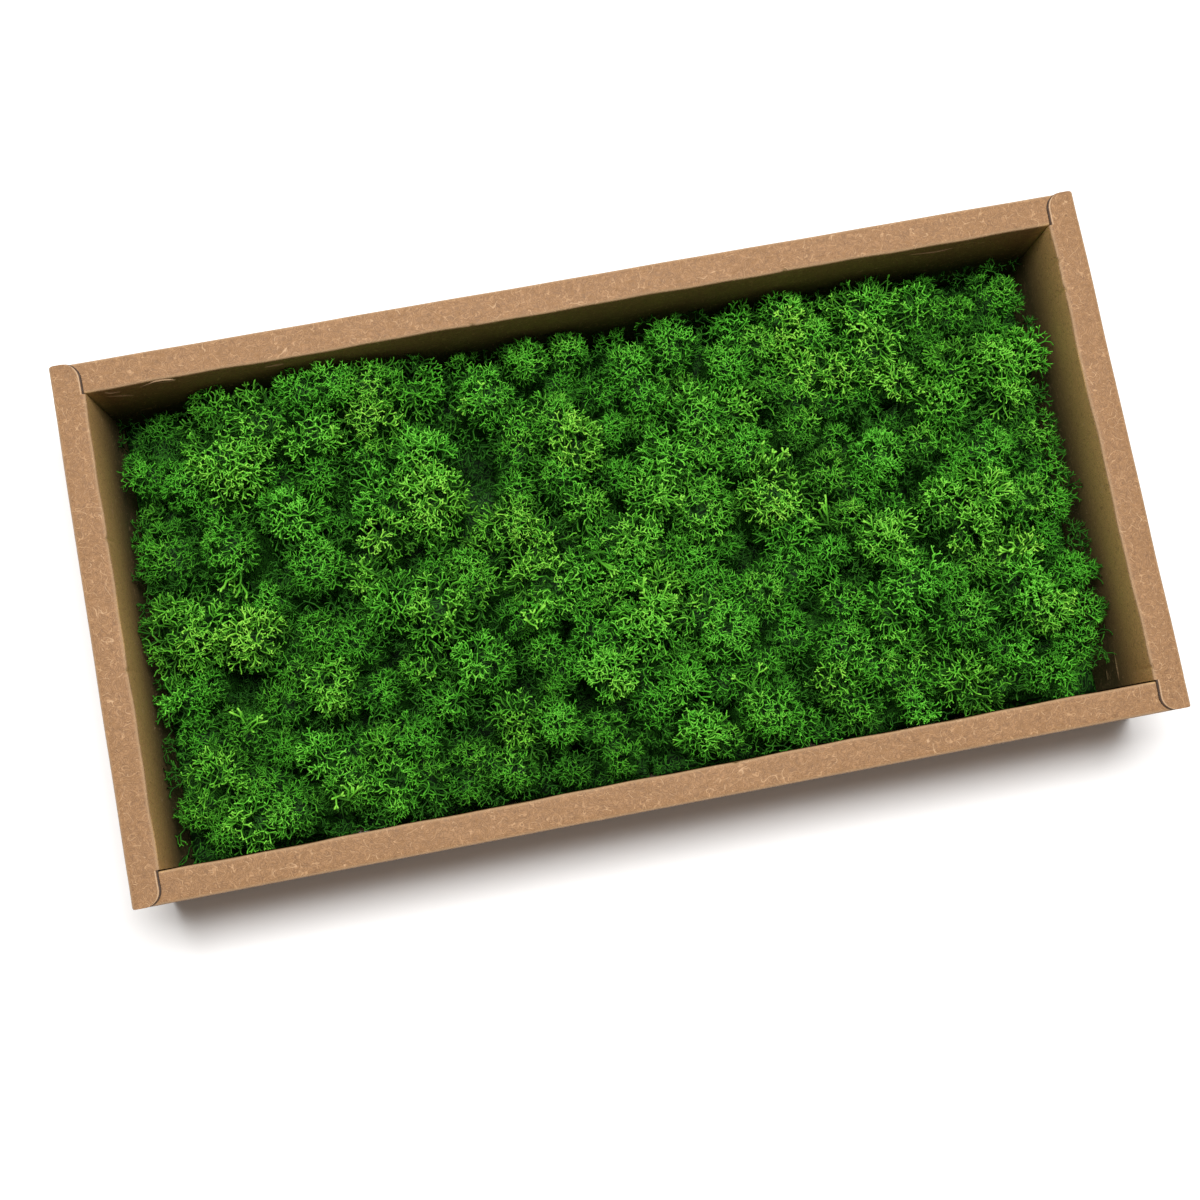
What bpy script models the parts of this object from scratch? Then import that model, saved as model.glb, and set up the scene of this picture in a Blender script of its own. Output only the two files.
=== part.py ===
"""Open kraft-board tray packed with eighteen cushions of reindeer moss.

The tray is one folded blank: base, hollow double walls with a flat rim, and tongues that lock the inner walls in
slots of the base. Each cushion is one solid: a lumpy core whose top is covered with stub tips, with forked sprigs
standing out of it. Lengths are in millimetres and become metres when a mesh is made. The origin is on the
underside of the tray, at its middle; X runs along the long side, Y across it and Z up.
"""

import math
import random

import bmesh
import bpy
from mathutils import Vector
from mathutils.geometry import delaunay_2d_cdt

MM = 0.001

# Tray
TRAY_LENGTH = 300.0
TRAY_DEPTH = 154.0
TRAY_HEIGHT = 50.0
BOARD = 0.6
RIM_WIDTH = 9.0
FOLD_RADIUS = 1.0
FOLD_STEPS = 3
# The long rims lie under the ends of the short rims.
LONG_RIM_TOP = TRAY_HEIGHT - BOARD - 0.1
# The inner walls hang this far clear of the base, and the short ones stop this far before the long ones.
INNER_WALL_CLEAR = 0.6
CORNER_CLEAR = 0.4
RIM_END_RADIUS = 4.5
RIM_END_NOTCH = 0.7
TONGUE_WIDTH = 22.0
TONGUE_CLEAR = 0.4
LONG_TONGUES_AT = (-80.0, 80.0)
SHORT_TONGUES_AT = (0.0,)
# Parts of the blank that are fused reach this far into each other.
FUSE = 0.05

# Moss
INNER_X = TRAY_LENGTH / 2 - RIM_WIDTH
INNER_Y = TRAY_DEPTH / 2 - RIM_WIDTH
MOSS_CLEAR = 0.5
CUSHION_GAP = 0.6
CUSHION_BOTTOM = BOARD + 0.3
# A head is a dome; past this share of its radius it goes on as a straight skirt with this slope.
DOME_SHARE = 0.7
SKIRT_SLOPE = 2.6
UNDERGROWTH = 13.0
# Beside its neighbours a cushion's top rolls off over this width, to this depth.
ROLL_WIDTH = 4.0
ROLL_DEPTH = 4.0
# The seams between cushions sway this far over waves this long, and each wave drifts along the other way.
SEAM_SWAY = 2.6
SEAM_WAVE = 52.0
SEAM_DRIFT = 19.0
# A cushion's top has this many points along its edge, and others on its heads, no nearer than this to each other.
EDGE_POINTS = 30
EDGE_ROOM = 2.6
CORE_SPACING = 4.4
SAME_POINT = 1e-5
HEAD_POINTS = 24
GOLDEN_ANGLE = math.pi * (3 - math.sqrt(5))
STUB_HEIGHT = 3.0
STUB_JITTER = 0.2
STUB_SHARE = 0.25
SPRIG_SPACING = 9.6
SPRIG_ROOM = 1.6
SPRIG_ROOT = 6.5
SPRIG_FORK = 1.6
SPRIG_RADIUS = 0.9
PRONG_LENGTH = (4.6, 6.2)
PRONG_TILT = (44.0, 62.0)
SEED = 1805

# Middles of the cushions, (x, y), in three rows from the far wall to the near one.
CUSHIONS = (
    (-117, 51), (-73, 47), (-23, 51), (23, 46), (68, 49), (114, 46),
    (-120, 4), (-86, -1), (-47, 10), (-3, 2), (51, 3), (103, 3),
    (-112, -43), (-68, -44), (-22, -40), (24, -44), (74, -42), (120, -43),
)

# Heads of the moss, (x, y, radius, drop of the top below the rim), in the same three rows.
HEADS = (
    (-127, 57, 11, 24), (-109, 62, 11, 15), (-132, 46, 8, 16), (-122, 42, 8, 14), (-108, 46, 12, 9),
    (-131, 35, 8, 26), (-116, 34, 8, 22), (-103, 33, 8, 24), (-96, 55, 10, 8), (-83, 62, 9, 7),
    (-73, 62, 9, 5), (-62, 60, 9, 8), (-81, 50, 9, 11), (-65, 52, 9, 11), (-95, 40, 8, 22),
    (-82, 38, 8, 16), (-67, 42, 9, 17), (-54, 43, 8, 17), (-50, 58, 8, 14), (-43, 50, 8, 22),
    (-34, 60, 8, 20), (-30, 51, 10, 11), (-16, 60, 8, 13), (-3, 61, 7, 16), (-7, 53, 8, 20),
    (-22, 41, 8, 16), (-11, 41, 9, 12), (-24, 33, 8, 15), (-6, 33, 8, 11), (11, 61, 7, 24),
    (5, 48, 8, 16), (14, 53, 8, 13), (28, 57, 9, 13), (17, 44, 8, 12), (27, 44, 7, 19),
    (6, 35, 6, 17), (15, 35, 7, 17), (32, 34, 9, 11), (43, 48, 8, 11), (43, 35, 8, 15),
    (48, 60, 8, 20), (62, 61, 8, 13), (62, 54, 8, 13), (53, 52, 7, 13), (71, 52, 7, 14),
    (73, 61, 7, 22), (87, 58, 9, 13), (65, 43, 7, 15), (55, 41, 8, 14), (74, 41, 8, 14),
    (86, 44, 9, 10), (62, 35, 8, 14), (73, 32, 7, 18), (82, 32, 7, 20), (105, 61, 8, 22),
    (127, 55, 9, 16), (102, 52, 8, 15), (113, 51, 7, 13), (103, 44, 8, 15), (124, 45, 8, 18),
    (92, 34, 8, 12), (108, 34, 9, 10), (121, 34, 7, 13), (131, 35, 8, 14), (103, 24, 8, 10),
    (123, 25, 7, 17),
    (-129, 21, 11, 13), (-110, 20, 10, 9), (-127, -2, 12, 12), (-110, -8, 9, 11), (-112, 5, 7, 24),
    (-124, -18, 7, 16), (-132, -21, 7, 17), (-93, 26, 8, 14), (-79, 24, 8, 24), (-88, 10, 10, 11),
    (-102, 3, 7, 17), (-74, 5, 6, 15), (-89, -9, 8, 13), (-80, -13, 8, 13), (-98, -18, 8, 14),
    (-66, -4, 8, 12), (-66, 26, 8, 13), (-52, 23, 11, 10), (-50, 35, 8, 12), (-67, 15, 6, 10),
    (-54, 5, 7, 17), (-44, 0, 8, 13), (-55, -9, 10, 9), (-38, 6, 7, 19), (-28, 13, 9, 12),
    (-26, 22, 7, 13), (-42, -5, 8, 13), (-12, 24, 8, 11), (-7, 14, 7, 12), (5, 21, 7, 18),
    (13, 13, 7, 13), (-22, 5, 8, 15), (-26, -3, 8, 12), (-4, 3, 7, 13), (6, 0, 8, 7),
    (2, -6, 9, 11), (-19, -8, 7, 11), (-12, -4, 7, 13), (20, 24, 8, 14), (16, -4, 7, 17),
    (27, 7, 11, 10), (31, 25, 8, 13), (30, 18, 7, 15), (43, 21, 9, 10), (48, 6, 10, 9),
    (60, 24, 7, 13), (65, 11, 8, 12), (71, 20, 6, 17), (75, 5, 8, 14), (52, -6, 8, 16),
    (69, -3, 7, 15), (62, -13, 7, 14), (47, -13, 7, 15), (23, -9, 7, 14), (33, -5, 6, 19),
    (86, 22, 7, 20), (96, 14, 8, 13), (81, 12, 9, 9), (113, 8, 10, 8), (102, 6, 8, 11),
    (129, 11, 9, 14), (115, 0, 7, 13), (130, 0, 7, 15), (97, -5, 8, 10), (110, -5, 8, 9),
    (121, -8, 9, 9), (130, -10, 6, 14), (84, -4, 7, 19), (101, -13, 7, 10), (79, -13, 8, 10),
    (-103, -27, 8, 15), (-117, -28, 8, 21), (-129, -33, 8, 18), (-114, -35, 9, 14), (-106, -40, 7, 13),
    (-124, -44, 9, 12), (-112, -49, 9, 15), (-132, -53, 7, 14), (-126, -60, 7, 17), (-105, -58, 9, 12),
    (-117, -60, 7, 16), (-95, -44, 7, 14), (-88, -26, 9, 13), (-75, -29, 8, 19), (-86, -43, 7, 20),
    (-88, -54, 9, 12), (-66, -45, 8, 13), (-76, -46, 7, 17), (-66, -56, 8, 14), (-75, -56, 7, 15),
    (-75, -62, 6, 16), (-56, -61, 6, 14), (-56, -36, 8, 17), (-62, -24, 7, 19), (-52, -54, 9, 14),
    (-33, -15, 8, 14), (-24, -14, 8, 13), (-13, -15, 7, 15), (-44, -27, 10, 9), (-26, -27, 7, 15),
    (-12, -24, 7, 13), (-9, -36, 8, 10), (-25, -37, 7, 15), (-18, -32, 6, 16), (-26, -48, 8, 8),
    (-38, -46, 8, 15), (-41, -59, 8, 13), (-14, -52, 8, 16), (-10, -61, 6, 15), (-25, -61, 6, 17),
    (-5, -26, 7, 15), (-5, -14, 7, 14), (10, -14, 7, 15), (6, -24, 9, 10), (20, -24, 8, 13),
    (26, -17, 8, 13), (28, -31, 10, 8), (38, -21, 9, 10), (2, -37, 6, 17), (13, -37, 7, 18),
    (3, -46, 8, 16), (12, -43, 7, 15), (24, -44, 8, 17), (35, -43, 8, 13), (35, -55, 10, 9),
    (13, -58, 7, 14), (2, -55, 7, 21), (20, -61, 6, 16), (43, -61, 6, 12), (46, -35, 9, 15),
    (48, -22, 6, 19), (53, -18, 7, 16), (83, -26, 10, 8), (94, -28, 7, 12), (75, -34, 8, 11),
    (62, -29, 8, 11), (60, -41, 10, 10), (79, -43, 7, 17), (69, -49, 7, 13), (56, -51, 8, 16),
    (78, -56, 8, 13), (77, -62, 6, 13), (61, -59, 8, 18), (91, -57, 8, 11), (96, -61, 6, 12),
    (96, -40, 10, 8), (104, -24, 8, 13), (115, -24, 8, 15), (125, -20, 7, 15), (116, -32, 8, 12),
    (131, -32, 8, 12), (119, -41, 9, 10), (131, -44, 8, 13), (106, -51, 8, 10), (127, -53, 8, 13),
    (105, -61, 6, 14), (115, -59, 8, 14), (122, -61, 6, 17),
)

KRAFT_COLOUR = (0.47, 0.27, 0.14, 1.0)
MOSS_COLOURS = ((0.05, 0.22, 0.012, 1.0), (0.06, 0.24, 0.014, 1.0), (0.045, 0.2, 0.012, 1.0))


def clear_scene():
    for obj in list(bpy.data.objects):
        bpy.data.objects.remove(obj, do_unlink=True)


def make_material(name, colour, roughness):
    material = bpy.data.materials.new(name)
    material.use_nodes = True
    shader = material.node_tree.nodes["Principled BSDF"]
    shader.inputs["Base Color"].default_value = colour
    shader.inputs["Roughness"].default_value = roughness
    shader.inputs["Metallic"].default_value = 0.0
    material.diffuse_color = colour
    return material


def add_object(name, bm, material=None):
    """Make an object at the origin from a bmesh in millimetres."""
    bmesh.ops.scale(bm, vec=(MM, MM, MM), verts=bm.verts)
    mesh = bpy.data.meshes.new(name)
    bm.to_mesh(mesh)
    bm.free()
    obj = bpy.data.objects.new(name, mesh)
    bpy.context.scene.collection.objects.link(obj)
    if material:
        mesh.materials.append(material)
    return obj


def boolean_join(body, parts, operation="UNION"):
    """Join parts to body, or cut them from it, by one Boolean on a collection, and remove them."""
    collection = bpy.data.collections.new(body.name + "_parts")
    bpy.context.scene.collection.children.link(collection)
    for part in parts:
        bpy.context.scene.collection.objects.unlink(part)
        collection.objects.link(part)
    modifier = body.modifiers.new("join", "BOOLEAN")
    modifier.operation = operation
    modifier.operand_type = "COLLECTION"
    modifier.collection = collection
    modifier.solver = "EXACT"
    bpy.context.view_layer.update()
    evaluated = body.evaluated_get(bpy.context.evaluated_depsgraph_get())
    joined = bpy.data.meshes.new_from_object(evaluated)
    joined.name = body.name
    body.modifiers.clear()
    body.data = joined
    for part in parts:
        bpy.data.objects.remove(part, do_unlink=True)
    bpy.data.collections.remove(collection)


def prism(outline, low, high, axes):
    """A bmesh of an outline of (u, v) points carried straight from low to high.

    axes puts (u, v, w) at x, y and z: "uwv" takes u as x, w as y and v as z.
    """
    bm = bmesh.new()
    order = [axes.index(letter) for letter in "uvw"]
    ends = []
    for w in (low, high):
        ring = []
        for u, v in outline:
            place = [0.0, 0.0, 0.0]
            for value, slot in zip((u, v, w), order):
                place[slot] = value
            ring.append(bm.verts.new(place))
        ends.append(ring)
    bm.faces.new(ends[0])
    bm.faces.new(ends[1])
    for i in range(len(outline)):
        j = (i + 1) % len(outline)
        bm.faces.new((ends[0][i], ends[0][j], ends[1][j], ends[1][i]))
    bmesh.ops.recalc_face_normals(bm, faces=bm.faces)
    return bm


def arc(centre, radius, start, end, steps):
    """Points on an arc about centre, from start to end degrees."""
    points = []
    for i in range(steps + 1):
        angle = math.radians(start + (end - start) * i / steps)
        points.append((centre[0] + radius * math.cos(angle), centre[1] + radius * math.sin(angle)))
    return points


def wall_profile(top, rim_width, inner_bottom=None):
    """Section of a side as (distance in from the outer face, height).

    The board rises from the base, folds over at the rim and, where inner_bottom is given, folds down again
    and ends at that height. Both faces of the board are followed, a board's thickness apart.
    """
    outer = [(BOARD + FOLD_RADIUS, 0.0)]
    outer += arc((FOLD_RADIUS, FOLD_RADIUS), FOLD_RADIUS, 270, 180, FOLD_STEPS)
    outer += arc((FOLD_RADIUS, top - FOLD_RADIUS), FOLD_RADIUS, 180, 90, FOLD_STEPS)
    inner_radius = FOLD_RADIUS - BOARD
    back = []
    if inner_bottom is None:
        outer += [(rim_width, top), (rim_width, top - BOARD)]
    else:
        turn = (rim_width - FOLD_RADIUS, top - FOLD_RADIUS)
        outer += arc(turn, FOLD_RADIUS, 90, 0, FOLD_STEPS)
        outer += [(rim_width, inner_bottom), (rim_width - BOARD, inner_bottom)]
        back += arc(turn, inner_radius, 0, 90, FOLD_STEPS)
    back += arc((FOLD_RADIUS, top - FOLD_RADIUS), inner_radius, 90, 180, FOLD_STEPS)
    back += [(BOARD, BOARD), (BOARD + FOLD_RADIUS, BOARD)]
    return outer + back


def long_wall(side):
    """A long side, which runs under the ends of the short rims. side is 1 for the far one, -1 for the near one."""
    section = wall_profile(LONG_RIM_TOP, RIM_WIDTH, BOARD + INNER_WALL_CLEAR)
    outline = [(side * (TRAY_DEPTH / 2 - u), v) for u, v in section]
    reach = TRAY_LENGTH / 2 - BOARD + FUSE
    return add_object("long_wall", prism(outline, -reach, reach, "wuv"))


def short_wall(side):
    """The middle of a short side, as long as the tray is deep inside. side is 1 for the right, -1 for the left."""
    section = wall_profile(TRAY_HEIGHT, RIM_WIDTH, BOARD + INNER_WALL_CLEAR)
    outline = [(side * (TRAY_LENGTH / 2 - u), v) for u, v in section]
    reach = TRAY_DEPTH / 2 - RIM_WIDTH - CORNER_CLEAR
    return add_object("short_wall", prism(outline, -reach, reach, "uwv"))


def short_wall_end(side, end):
    """The end of a short side: outer wall and rim tab over the long rim, its inner corner rounded off."""
    section = wall_profile(TRAY_HEIGHT, RIM_WIDTH - RIM_END_NOTCH)
    outline = [(side * (TRAY_LENGTH / 2 - u), v) for u, v in section]
    start = end * (TRAY_DEPTH / 2 - RIM_WIDTH - CORNER_CLEAR - FUSE)
    stop = end * TRAY_DEPTH / 2
    obj = add_object("short_wall_end", prism(outline, min(start, stop), max(start, stop), "uwv"))
    centre = (RIM_WIDTH - RIM_END_NOTCH - RIM_END_RADIUS, RIM_END_RADIUS)
    corner = arc(centre, RIM_END_RADIUS, 0, -90, 2 * FOLD_STEPS)
    corner += [(centre[0], -1.0), (RIM_WIDTH, -1.0), (RIM_WIDTH, centre[1])]
    plan = [(side * (TRAY_LENGTH / 2 - u), end * (TRAY_DEPTH / 2 - v)) for u, v in corner]
    cutter = add_object("rim_corner", prism(plan, TRAY_HEIGHT - 2 * BOARD, TRAY_HEIGHT + 1.0, "uvw"))
    boolean_join(obj, [cutter], "DIFFERENCE")
    return obj


def block(name, low, high):
    outline = [(low[0], low[1]), (high[0], low[1]), (high[0], high[1]), (low[0], high[1])]
    return add_object(name, prism(outline, low[2], high[2], "uvw"))


def tongue_boxes(grow, low, high):
    """Boxes for the six tongues under the inner walls, or, grown sideways, for their slots."""
    boxes = []
    half = TONGUE_WIDTH / 2 + grow
    for side in (-1, 1):
        inner = sorted((side * (TRAY_DEPTH / 2 - RIM_WIDTH), side * (TRAY_DEPTH / 2 - RIM_WIDTH + BOARD)))
        for at in LONG_TONGUES_AT:
            boxes.append(((at - half, inner[0] - grow, low), (at + half, inner[1] + grow, high)))
        inner = sorted((side * (TRAY_LENGTH / 2 - RIM_WIDTH), side * (TRAY_LENGTH / 2 - RIM_WIDTH + BOARD)))
        for at in SHORT_TONGUES_AT:
            boxes.append(((inner[0] - grow, at - half, low), (inner[1] + grow, at + half, high)))
    return boxes


def make_tray():
    edge = BOARD + FUSE
    base = block(
        "kraft_box",
        (-TRAY_LENGTH / 2 + edge, -TRAY_DEPTH / 2 + edge, 0.0),
        (TRAY_LENGTH / 2 - edge, TRAY_DEPTH / 2 - edge, BOARD),
    )
    slots = [block("slot", low, high) for low, high in tongue_boxes(TONGUE_CLEAR, -1.0, 2 * BOARD)]
    boolean_join(base, slots, "DIFFERENCE")
    parts = [long_wall(1), long_wall(-1), short_wall(1), short_wall(-1)]
    parts += [short_wall_end(side, end) for side in (-1, 1) for end in (-1, 1)]
    tongue_top = BOARD + INNER_WALL_CLEAR + FUSE
    parts += [block("tongue", low, high) for low, high in tongue_boxes(0.0, FUSE, tongue_top)]
    boolean_join(base, parts)
    base.data.materials.clear()
    base.data.materials.append(make_material("kraft_board", KRAFT_COLOUR, 0.75))
    return base


def sway(x, y):
    """How far the seams between cushions are bent at a point: two crossed waves that fade out at the tray's walls."""
    fade = (1 - (x / INNER_X) ** 4) * (1 - (y / INNER_Y) ** 4)
    along = SEAM_SWAY * fade * math.sin(math.tau * y / SEAM_WAVE + x / SEAM_DRIFT)
    across = SEAM_SWAY * fade * math.sin(math.tau * x / SEAM_WAVE - y / SEAM_DRIFT)
    return along, across


def bent(x, y):
    """From the plan with straight seams to the real one."""
    along, across = sway(x, y)
    return x + along, y + across


def unbent(x, y):
    """From the real plan to the one with straight seams: bent() undone by closing in on it."""
    plain_x, plain_y = x, y
    for _ in range(5):
        along, across = sway(plain_x, plain_y)
        plain_x, plain_y = x - along, y - across
    return plain_x, plain_y


def cell_sides(index):
    """Straight sides of a cushion's cell, each as (outward normal, distance): its neighbours and the tray's walls."""
    middle = Vector(CUSHIONS[index])
    sides = []
    for other, place in enumerate(CUSHIONS):
        if other == index:
            continue
        across = Vector(place) - middle
        normal = across.normalized()
        sides.append((normal, normal.dot(middle + across / 2) - CUSHION_GAP / 2))
    reach_x = INNER_X - MOSS_CLEAR
    reach_y = INNER_Y - MOSS_CLEAR
    for normal, distance in (((1, 0), reach_x), ((-1, 0), reach_x), ((0, 1), reach_y), ((0, -1), reach_y)):
        sides.append((Vector(normal), distance))
    return sides


def room(sides, x, y):
    """Distance from a real point to the nearest side of the cell, below zero outside."""
    at = Vector(unbent(x, y))
    return min(distance - normal.dot(at) for normal, distance in sides)


def reach_along(sides, middle, direction):
    """Distance from middle to the cell's edge in a direction."""
    spans = []
    for normal, distance in sides:
        toward = normal.dot(direction)
        if toward > 1e-6:
            spans.append((distance - normal.dot(middle)) / toward)
    return min(spans)


def inside_cell(sides, at):
    """The point, pulled back into the cell and under the rim where it would leave them."""
    x, y = unbent(at.x, at.y)
    for _ in range(3):
        for normal, distance in sides:
            over = normal.x * x + normal.y * y - distance
            if over > 0:
                x -= normal.x * over
                y -= normal.y * over
    return Vector((*bent(x, y), min(at.z, TRAY_HEIGHT - 1.0)))


def dome_height(head, x, y):
    """Height of one head over a point: a sphere's top, then a straight skirt."""
    head_x, head_y, radius, drop = head
    away = math.hypot(x - head_x, y - head_y)
    on_dome = min(away, DOME_SHARE * radius)
    height = TRAY_HEIGHT - drop - radius + math.sqrt(radius**2 - on_dome**2)
    return height - SKIRT_SLOPE * (away - on_dome)


def moss_height(heads, sides, x, y):
    """Top of a cushion over a point: the highest head or the undergrowth, rolled off beside the cell's edge."""
    height = max([UNDERGROWTH] + [dome_height(head, x, y) for head in heads])
    near_edge = max(0.0, 1.0 - max(0.0, room(sides, x, y)) / ROLL_WIDTH)
    return height - ROLL_DEPTH * near_edge**2


def moss_normal(heads, sides, x, y):
    step = 1.0
    slope_x = moss_height(heads, sides, x + step, y) - moss_height(heads, sides, x - step, y)
    slope_y = moss_height(heads, sides, x, y + step) - moss_height(heads, sides, x, y - step)
    return Vector((-slope_x, -slope_y, 2 * step)).normalized()


def head_points(heads, spots):
    """Points of a spiral over every head, out to its foot, as (x, y), each head turned a step further."""
    points = []
    for number, (head_x, head_y, radius, _) in enumerate(heads):
        for i in range(spots):
            away = radius * math.sqrt(i / spots)
            angle = GOLDEN_ANGLE * i + number
            points.append((i, head_x + away * math.cos(angle), head_y + away * math.sin(angle)))
    points.sort(key=lambda point: point[0])
    return [(x, y) for _, x, y in points]


def spread(points, spacing):
    """The points in their order, without any that lies nearer than the spacing to one already kept."""
    kept = []
    for at in points:
        if all((at - other).length > spacing for other in kept):
            kept.append(at)
    return kept


def cushion_top(index, heads, sides):
    """The top as points and triangles, in the plan with straight seams.

    The points are those along the cell's edge, then one on each head's top and others round it.
    """
    middle = Vector(CUSHIONS[index])
    edge = []
    for i in range(EDGE_POINTS):
        direction = Vector((math.cos(math.tau * i / EDGE_POINTS), math.sin(math.tau * i / EDGE_POINTS)))
        edge.append(middle + direction * reach_along(sides, middle, direction))
    inner = [(x, y) for x, y in head_points(heads, HEAD_POINTS) if room(sides, x, y) > EDGE_ROOM]
    inner = spread([Vector(unbent(x, y)) for x, y in inner], CORE_SPACING)
    loop = [(i, (i + 1) % EDGE_POINTS) for i in range(EDGE_POINTS)]
    inside_loop = 1
    found = delaunay_2d_cdt(edge + inner, loop, [], inside_loop, SAME_POINT)
    return found[0], found[2]


def cushion_core(index, heads, sides, draw):
    """The cushion's body: a domed top with stub tips on some of its triangles, plain sides, flat bottom."""
    bm = bmesh.new()
    points, triangles = cushion_top(index, heads, sides)
    verts = []
    for at in points:
        x, y = bent(at.x, at.y)
        verts.append(bm.verts.new((x, y, moss_height(heads, sides, x, y) - STUB_HEIGHT)))
    top_faces = [bm.faces.new([verts[i] for i in triangle]) for triangle in triangles]
    rim_edges = [edge for edge in bm.edges if edge.is_boundary]
    stub_faces = [face for face in top_faces if draw.random() < STUB_SHARE]
    for tip in bmesh.ops.poke(bm, faces=stub_faces)["verts"]:
        a, b, c = (edge.other_vert(tip).co.copy() for edge in tip.link_edges)
        share = [1 / 3 + draw.uniform(-STUB_JITTER, STUB_JITTER) for _ in range(2)]
        at = a * share[0] + b * share[1] + c * (1 - sum(share))
        tip.co = (at.x, at.y, moss_height(heads, sides, at.x, at.y) - draw.uniform(0.0, STUB_HEIGHT / 3))
    skirt = bmesh.ops.extrude_edge_only(bm, edges=rim_edges)["geom"]
    feet = {item for item in skirt if isinstance(item, bmesh.types.BMVert)}
    for foot in feet:
        foot.co.z = CUSHION_BOTTOM
    hem = [item for item in skirt if isinstance(item, bmesh.types.BMEdge) and set(item.verts) <= feet]
    bmesh.ops.edgeloop_fill(bm, edges=hem)
    bmesh.ops.recalc_face_normals(bm, faces=bm.faces)
    return bm


def sprig_places(heads, sides):
    """Places for the forked sprigs: one on every head's top, others round it, none nearer than the spacing."""
    places = []
    for x, y in head_points(heads, HEAD_POINTS):
        if room(sides, x, y) > SPRIG_ROOM:
            places.append(Vector((x, y, moss_height(heads, sides, x, y))))
    return spread(places, SPRIG_SPACING)


def forked_sprig(at, normal, sides, draw):
    """A three-sided stem that ends in three spiked prongs, one from each third of its top."""
    bm = bmesh.new()
    axis = (normal + Vector((0, 0, 0.5))).normalized()
    across = axis.orthogonal().normalized()
    turn = draw.uniform(0, math.tau)
    rays = []
    for k in range(3):
        angle = turn + math.tau * k / 3
        rays.append(across * math.cos(angle) + axis.cross(across) * math.sin(angle))
    fork = at - axis * SPRIG_FORK
    root = at - axis * SPRIG_ROOT
    foot = [bm.verts.new(inside_cell(sides, root + ray * SPRIG_RADIUS)) for ray in rays]
    top = [bm.verts.new(inside_cell(sides, fork + ray * SPRIG_RADIUS)) for ray in rays]
    hub = bm.verts.new(inside_cell(sides, fork + axis * SPRIG_RADIUS))
    bm.faces.new(foot)
    for k in range(3):
        after = (k + 1) % 3
        bm.faces.new((foot[k], foot[after], top[after], top[k]))
        tilt = math.radians(draw.uniform(*PRONG_TILT))
        out = (rays[k] + rays[after]).normalized()
        length = draw.uniform(*PRONG_LENGTH)
        tip_at = fork + axis * (length * math.cos(tilt)) + out * (length * math.sin(tilt))
        tip = bm.verts.new(inside_cell(sides, tip_at))
        bm.faces.new((top[k], top[after], tip))
        bm.faces.new((top[after], hub, tip))
        bm.faces.new((hub, top[k], tip))
    bmesh.ops.recalc_face_normals(bm, faces=bm.faces)
    return add_object("sprig", bm)


def make_cushion(index, heads, material):
    draw = random.Random(SEED + index)
    sides = cell_sides(index)
    name = f"moss_clump_{index + 1:02d}"
    body = add_object(name, cushion_core(index, heads, sides, draw))
    sprigs = []
    for at in sprig_places(heads, sides):
        normal = moss_normal(heads, sides, at.x, at.y)
        sprigs.append(forked_sprig(at, normal, sides, draw))
    boolean_join(body, sprigs)
    body.data.materials.clear()
    body.data.materials.append(material)
    return body


def make_moss():
    materials = []
    for number, colour in enumerate(MOSS_COLOURS, 1):
        materials.append(make_material(f"moss_green_{number}", colour, 0.8))
    groups = [[] for _ in CUSHIONS]
    for head in HEADS:
        spans = [math.hypot(head[0] - x, head[1] - y) for x, y in CUSHIONS]
        groups[spans.index(min(spans))].append(head)
    for index, heads in enumerate(groups):
        make_cushion(index, heads, materials[index % len(materials)])


clear_scene()
make_tray()
make_moss()
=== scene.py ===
"""Open kraft-board tray packed with reindeer moss: the looks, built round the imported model.

Lengths in the constants are in millimetres, in the model's own frame, and become metres when a mesh is made.
"""

import math

import bpy
import numpy as np
from mathutils import Euler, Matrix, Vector


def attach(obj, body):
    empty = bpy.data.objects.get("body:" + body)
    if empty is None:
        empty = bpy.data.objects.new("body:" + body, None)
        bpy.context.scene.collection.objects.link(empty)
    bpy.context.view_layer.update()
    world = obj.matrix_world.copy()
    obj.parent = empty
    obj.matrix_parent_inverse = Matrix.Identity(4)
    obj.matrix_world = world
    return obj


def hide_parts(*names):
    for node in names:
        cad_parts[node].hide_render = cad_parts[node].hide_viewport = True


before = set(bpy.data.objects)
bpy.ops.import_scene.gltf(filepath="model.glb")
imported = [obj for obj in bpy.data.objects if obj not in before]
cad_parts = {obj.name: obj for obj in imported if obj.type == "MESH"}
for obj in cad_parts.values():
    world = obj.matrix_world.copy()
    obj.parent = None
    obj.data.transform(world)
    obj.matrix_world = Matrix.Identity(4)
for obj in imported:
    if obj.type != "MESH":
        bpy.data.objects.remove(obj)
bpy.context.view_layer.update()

MM = 0.001
GOLDEN_ANGLE = math.pi * (3 - math.sqrt(5))
SEED = 1805

# Tray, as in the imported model
TRAY_LENGTH = 300.0
TRAY_DEPTH = 154.0
TRAY_HEIGHT = 50.0
BOARD = 0.6
RIM_WIDTH = 9.0
INNER_X = TRAY_LENGTH / 2 - RIM_WIDTH
INNER_Y = TRAY_DEPTH / 2 - RIM_WIDTH
RIM_STEP = 0.1
LONG_RIM_TOP = TRAY_HEIGHT - BOARD - RIM_STEP
INNER_WALL_CLEAR = 0.6
CORNER_CLEAR = 0.4
TONGUE_WIDTH = 22.0
TONGUE_PLACE = 80.0
TONGUE_CLEAR = 0.4
TONGUE_BOTTOM = 0.05
TONGUE_LAP = 0.1

# Folds and rims
FOLD_RADIUS = 1.0
FOLD_STEPS = 4
# The pale line along each fold is wear, and also a painted highlight.
FOLD_WEAR_AND_HIGHLIGHT = 0.6
FLAT_SPANS = 5
STATION_SPACING = 4.0
SHARP_ANGLE = math.radians(40)
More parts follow.
